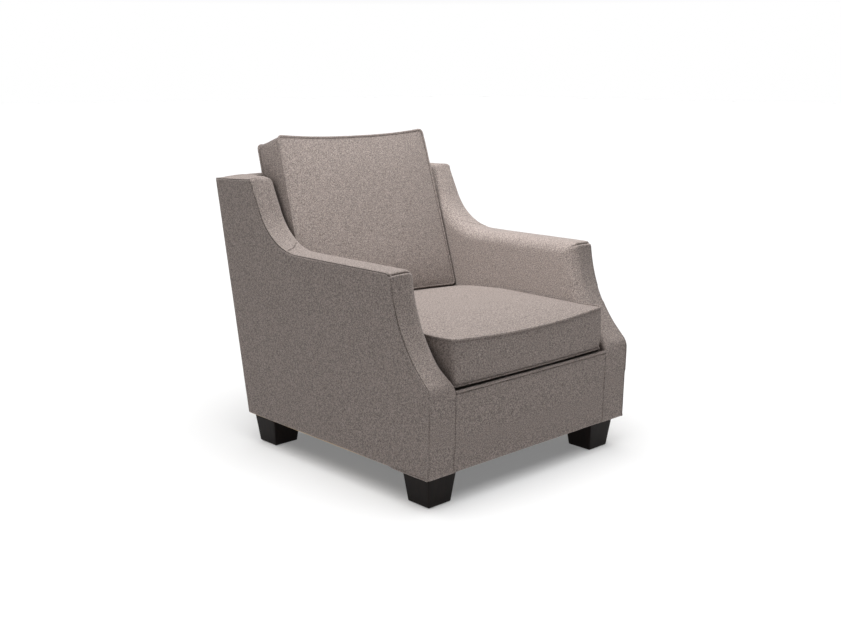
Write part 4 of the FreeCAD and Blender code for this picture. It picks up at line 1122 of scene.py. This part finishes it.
class ARMCHAIR_OT_body_panels(ArmchairOperator, bpy.types.Operator):
    """Build the front border and its welt, the deck and the inside, top and outside of the back"""

    bl_idname = "armchair.body_panels"
    bl_label = "Border, deck and back"

    def execute(self, context):
        cloth = heathered_cloth()
        face = LOW["inside_arm_pad_right"].x

        low, high = LOW["front_border"], HIGH["front_border"]
        lean = 4.6 * MM / (0.338 - low.z)
        front = low.y + 5 * MM

        def on_front(x, z, out):
            # Its sides lie flush with the padded arms beside it.
            flush = smooth((abs(x) - face + 24 * MM) / (18 * MM)) * smooth((high.z - 3 * MM - z) / (9 * MM))
            out *= between(1.0, 0.1, flush)
            return Vector((x, front - (z - low.z) * lean - out - 1.1 * MM, z))

        half = face + 1.6 * MM
        skin = pillow_panel(panel_corners(half, low.z, high.z, 3 * MM), FLAT_PANEL_EDGE, on_front, 9 * MM, 14 * MM)
        obj = skin.piece("front_border_panel", cloth, facing=(0, -1, 0), thickness=2 * MM, shape=padding_ripple)
        settle(obj, "chair", ["front_border"])

        welt_z = (LOW["front_border_welt"].z + HIGH["front_border_welt"].z) / 2
        welt_y = on_front(0, welt_z, 0).y + 2.6 * MM
        path = [Vector((x, welt_y, welt_z + 0.9 * MM + ripple((x, 0, 0), 80 * MM, 0.6 * MM)))
                for x in np.linspace(-face + 1 * MM, face - 1 * MM, 90)]
        welt = Skin()
        rows = tube(path, 4.1 * MM, closed=False, uneven=0.2 * MM)
        rows = [r + [r[0]] for r in rows]
        welt.rows(rows, closed=False)
        for ring in (rows[0], rows[-1]):
            welt.end(ring[:-1])
        obj = welt.piece("front_border_cord", cloth)
        settle(obj, "chair", ["front_border_welt"])

        low, high = LOW["deck_pad"], HIGH["deck_pad"]

        def on_deck(x, y, out):
            return Vector((x, y, HIGH["deck_pad"].z - 0.5 * MM + out))

        skin = pillow_panel(panel_corners(high.x, low.y, high.y, 8 * MM), DECK_EDGE, on_deck, 12 * MM, 18 * MM)
        obj = skin.piece("deck_cover", frame_finishes()["deck_cloth"](), facing=(0, 0, 1), thickness=2 * MM,
                         shape=lambda p: ripple(p, 140 * MM, 0.5 * MM, 6.0))
        settle(obj, "chair", ["deck_pad"])

        low, high = LOW["inside_back_pad"], HIGH["inside_back_pad"]
        tilt = INSIDE_BACK_TILT
        rise, into = Vector((0, math.sin(tilt), math.cos(tilt))), Vector((0, math.cos(tilt), -math.sin(tilt)))
        foot = Vector((0, low.y, low.z))
        tall = (high.z - low.z) / math.cos(tilt) - 4 * MM

        def on_inside_back(x, up, out):
            return foot + Vector((x, 0, 0)) + rise * up - into * (out - 1.0 * MM)

        edge = face - 1 * MM
        skin = pillow_panel(panel_corners(edge, 2 * MM, tall, 14 * MM), INSIDE_BACK_EDGE, on_inside_back,
                            12 * MM, 18 * MM)
        obj = skin.piece("inside_back_cover", cloth, facing=(0, -1, 0.3), thickness=2 * MM,
                         shape=lambda p: ripple(p, 140 * MM, 0.6 * MM, 8.0))
        settle(obj, "chair", ["inside_back_pad"])

        low, high = LOW["back_top_pad"], HIGH["back_top_pad"]

        def on_top(x, y, out):
            low, high = LOW["back_top_pad"], HIGH["back_top_pad"]
            fall = (y - low.y) / (high.y - low.y) * 3 * MM
            if out < 0:
                # Beside a wing the cover hardly tucks in, and at the rear it does, to meet the outside back.
                beside_wing = smooth((abs(x) - edge + 22 * MM) / (18 * MM))
                out *= between(1.0, 0.25, beside_wing * smooth((high.y - 12 * MM - y) / (10 * MM)))
            return Vector((x, y, high.z - 4.5 * MM - fall + out))

        skin = pillow_panel(panel_corners(face + 5 * MM, low.y, high.y, 16 * MM, top_radius=4 * MM), BACK_TOP_EDGE,
                            on_top, 9 * MM, 12 * MM)
        obj = skin.piece("back_top_cover", cloth, facing=(0, 0, 1), thickness=2 * MM,
                         shape=lambda p: ripple(p, 80 * MM, 0.6 * MM, 10.0))
        settle(obj, "chair", ["back_top_pad"])

        low, high = LOW["outside_back_cover"], HIGH["outside_back_cover"]
        foot = Vector((0, low.y + BACK_FOOT_INSET, low.z))
        head = Vector((0, high.y, high.z))
        rise = (head - foot).normalized()
        away = Vector((0, rise.z, -rise.y))
        tall = (head - foot).length

        def on_outside_back(x, up, out):
            return foot + Vector((x, 0, 0)) + rise * up + away * (out + 0.3 * MM)

        skin = pillow_panel(panel_corners(high.x, 0.5 * MM, tall - 2 * MM, 3 * MM), FLAT_PANEL_EDGE,
                            on_outside_back, 10 * MM, 16 * MM)
        obj = skin.piece("outside_back_panel", cloth, facing=(0, 1, 0), thickness=2 * MM,
                         shape=lambda p: ripple(p, 160 * MM, 0.8 * MM, 11.0))
        settle(obj, "chair", ["outside_back_cover"])
        return {"FINISHED"}


class ARMCHAIR_OT_seat_cushion(ArmchairOperator, bpy.types.Operator):
    """Build the loose seat cushion, its foam core and its two welts"""

    bl_idname = "armchair.seat_cushion"
    bl_label = "Seat cushion"

    def execute(self, context):
        build_seat_cushion(heathered_cloth())
        return {"FINISHED"}


class ARMCHAIR_OT_back_cushion(ArmchairOperator, bpy.types.Operator):
    """Build the loose back cushion, its filling and its two welts"""

    bl_idname = "armchair.back_cushion"
    bl_label = "Back cushion"

    def execute(self, context):
        build_back_cushion(heathered_cloth())
        return {"FINISHED"}


class ARMCHAIR_OT_feet(ArmchairOperator, bpy.types.Operator):
    """Build the four tapered block feet with eased edges"""

    bl_idname = "armchair.feet"
    bl_label = "Feet"

    def execute(self, context):
        ease = sizes().foot_chamfer
        height, taper, steps = 0.095, 11.7 * MM, 10
        for end in ("front", "rear"):
            for side, _ in SIDES:
                node = f"foot_{end}_{side}"
                low, high = LOW[node], HIGH[node]
                centre = (low + high) / 2
                top_half = (high.x - low.x) / 2
                skin = Skin()
                # Each level is its height and how far it draws in for the eased edge of the sole.
                levels = [(0.0, ease), (0.6 * MM, ease * 0.4), (ease, 0.0)]
                levels += [(between(ease, height, k / steps), 0.0) for k in range(1, steps + 1)]
                square = Outline(panel_corners(top_half, -top_half, top_half, ease), 12 * MM)
                rings = []
                for up, draw in levels:
                    share = (top_half - taper * (1 - up / height) - draw) / top_half
                    rings.append([Vector((centre.x + p.x * share, centre.y + p.y * share, low.z + up))
                                  for p in square.ring(0.0)])
                skin.rows(rings)
                for ring in (rings[0], rings[-1]):
                    skin.end(ring)
                obj = skin.piece(f"block_{node}", espresso_beech())
                settle(obj, "chair", [node])
        return {"FINISHED"}


class ARMCHAIR_OT_stage(ArmchairOperator, bpy.types.Operator):
    """Build the pale floor, the soft lights and the camera"""

    bl_idname = "armchair.stage"
    bl_label = "Floor, lights and camera"

    def execute(self, context):
        scene = context.scene
        light = lighting()
        scene.view_settings.view_transform = "Standard"
        floor_mesh = bpy.data.meshes.new("floor")
        reach, steps = 40.0, 8
        at = np.linspace(-reach, reach, steps + 1)
        floor_mesh.from_pydata([(x, y, 0.0) for y in at for x in at], [], grid_faces(steps + 1, steps + 1, False))
        floor = bpy.data.objects.new("floor", floor_mesh)
        scene.collection.objects.link(floor)
        # Rolled matt paint: pale, even and without gloss. It glows a little, to be as pale as a studio floor.
        paint, tree, shader, place = new_material("matt_paint_rolled", {
            "Roughness": 0.9, "Specular IOR Level": 0.1, "Emission Color": (1, 1, 1, 1), "Emission Strength": 0.2})
        tone = blotches(tree, place, 0.8, 2.0)
        shade = add(tree, "ShaderNodeValToRGB", {"stops": [(0.3, "#D9D9D9"), (0.7, "#DCDCDC")]}, {0: tone})
        tree.links.new(shade.outputs[0], shader.inputs["Base Color"])
        floor_mesh.materials.append(paint)

        only_floor = bpy.data.collections.new("floor_only")
        only_floor.objects.link(floor)
        all_but_floor = bpy.data.collections.new("all_but_floor")
        all_but_floor.objects.link(floor)
        all_but_floor.collection_objects[0].light_linking.link_state = "EXCLUDE"

        far_arm = bpy.data.collections.new("far_arm")
        far_arm.objects.link(bpy.data.objects["arm_wrap_right"])
        back_face = bpy.data.collections.new("back_face")
        under_top_light = bpy.data.collections.new("all_but_floor_and_back_cushion")
        under_top_light.objects.link(floor)
        for name in ("back_cushion", "back_welt_front", "back_welt_rear"):
            back_face.objects.link(bpy.data.objects[name])
            under_top_light.objects.link(bpy.data.objects[name])
        for linked in under_top_light.collection_objects:
            linked.light_linking.link_state = "EXCLUDE"

        # Broad lights: name, turn about x and y and width in degrees, strength, and what each one lights.
        for name, turn, wide, power, lit in (
            ("floor_light", (6, -8), 70, light.floor, only_floor),
            ("top_light", (-9, 9), 60, light.top, under_top_light),
        ):
            lamp = bpy.data.lights.new(name, "SUN")
            lamp.energy = power
            lamp.angle = math.radians(wide)
            obj = bpy.data.objects.new(name, lamp)
            obj.rotation_euler = (math.radians(turn[0]), math.radians(turn[1]), 0)
            obj.light_linking.receiver_collection = lit
            scene.collection.objects.link(obj)

        # Softboxes: name, place, what it faces, width, depth, power, and what each one lights.
        for name, spot, aim, wide, deep, power, lit in (
            ("overhead_softbox", (0.25, 0.12, 2.6), (0.05, 0.0, 0.4), 1.5, 1.3, light.overhead, all_but_floor),
            ("far_arm_fill", (-1.35, -0.40, 1.25), (0.32, -0.05, 0.6), 0.7, 0.7, light.inside, far_arm),
            ("back_side_fill", (-1.35, -0.40, 1.25), (0.0, 0.2, 0.7), 0.7, 0.7, light.side, back_face),
            ("back_face_fill", (0.05, -1.4, 0.50), (0.0, 0.2, 0.50), 0.6, 0.4, light.face, back_face),
        ):
            lamp = bpy.data.lights.new(name, "AREA")
            lamp.shape = "RECTANGLE"
            lamp.size, lamp.size_y, lamp.energy = wide, deep, power
            obj = bpy.data.objects.new(name, lamp)
            obj.location = spot
            obj.rotation_mode = "QUATERNION"
            obj.rotation_quaternion = (Vector(aim) - Vector(spot)).to_track_quat("-Z", "Y")
            obj.light_linking.receiver_collection = lit
            scene.collection.objects.link(obj)

        world = bpy.data.worlds.new("pale_surround")
        world.use_nodes = True
        tree = world.node_tree
        tree.nodes.clear()
        where = add(tree, "ShaderNodeTexCoord").outputs["Generated"]
        height = add(tree, "ShaderNodeSeparateXYZ", {}, {0: where}).outputs[2]
        level = add(tree, "ShaderNodeMapRange", {1: 0.06, 2: 0.14, 3: 1.0, 4: light.world}, {0: height}).outputs[0]
        back = add(tree, "ShaderNodeBackground", {"Color": (1, 1, 1, 1)}, {"Strength": level})
        add(tree, "ShaderNodeOutputWorld", {}, {"Surface": back.outputs[0]})
        scene.world = world

        camera = bpy.data.cameras.new("camera")
        camera.lens = light.lens
        camera.sensor_width = 36.0
        camera.clip_end = 200
        eye = bpy.data.objects.new("camera", camera)
        eye.location = light.eye
        eye.rotation_mode = "QUATERNION"
        eye.rotation_quaternion = (Vector(light.target) - Vector(light.eye)).to_track_quat("-Z", "Y")
        scene.collection.objects.link(eye)
        scene.camera = eye
        return {"FINISHED"}


STEPS = (
    ARMCHAIR_OT_finish_frame,
    ARMCHAIR_OT_arms,
    ARMCHAIR_OT_body_panels,
    ARMCHAIR_OT_seat_cushion,
    ARMCHAIR_OT_back_cushion,
    ARMCHAIR_OT_feet,
    ARMCHAIR_OT_stage,
)


class ARMCHAIR_PT_panel(bpy.types.Panel):
    bl_label = "Upholstered armchair"
    bl_idname = "ARMCHAIR_PT_panel"
    bl_space_type = "VIEW_3D"
    bl_region_type = "UI"
    bl_category = "Armchair"

    def draw(self, context):
        for group in (sizes(), colours(), lighting()):
            box = self.layout.box()
            for name in group.__annotations__:
                box.prop(group, name)
        for step in STEPS:
            self.layout.operator(step.bl_idname)


GROUPS = (
    ("armchair_sizes", ArmchairSizes),
    ("armchair_colours", ArmchairColours),
    ("armchair_lighting", ArmchairLighting),
)


def register():
    for name, group in GROUPS:
        bpy.utils.register_class(group)
        setattr(bpy.types.Scene, name, PointerProperty(type=group))
    for step in STEPS:
        bpy.utils.register_class(step)
    bpy.utils.register_class(ARMCHAIR_PT_panel)


def unregister():
    bpy.utils.unregister_class(ARMCHAIR_PT_panel)
    for step in reversed(STEPS):
        bpy.utils.unregister_class(step)
    for name, group in reversed(GROUPS):
        delattr(bpy.types.Scene, name)
        bpy.utils.unregister_class(group)


def main():
    register()
    for step in STEPS:
        area, name = step.bl_idname.split(".")
        getattr(getattr(bpy.ops, area), name)()


if __name__ == "__main__":
    main()
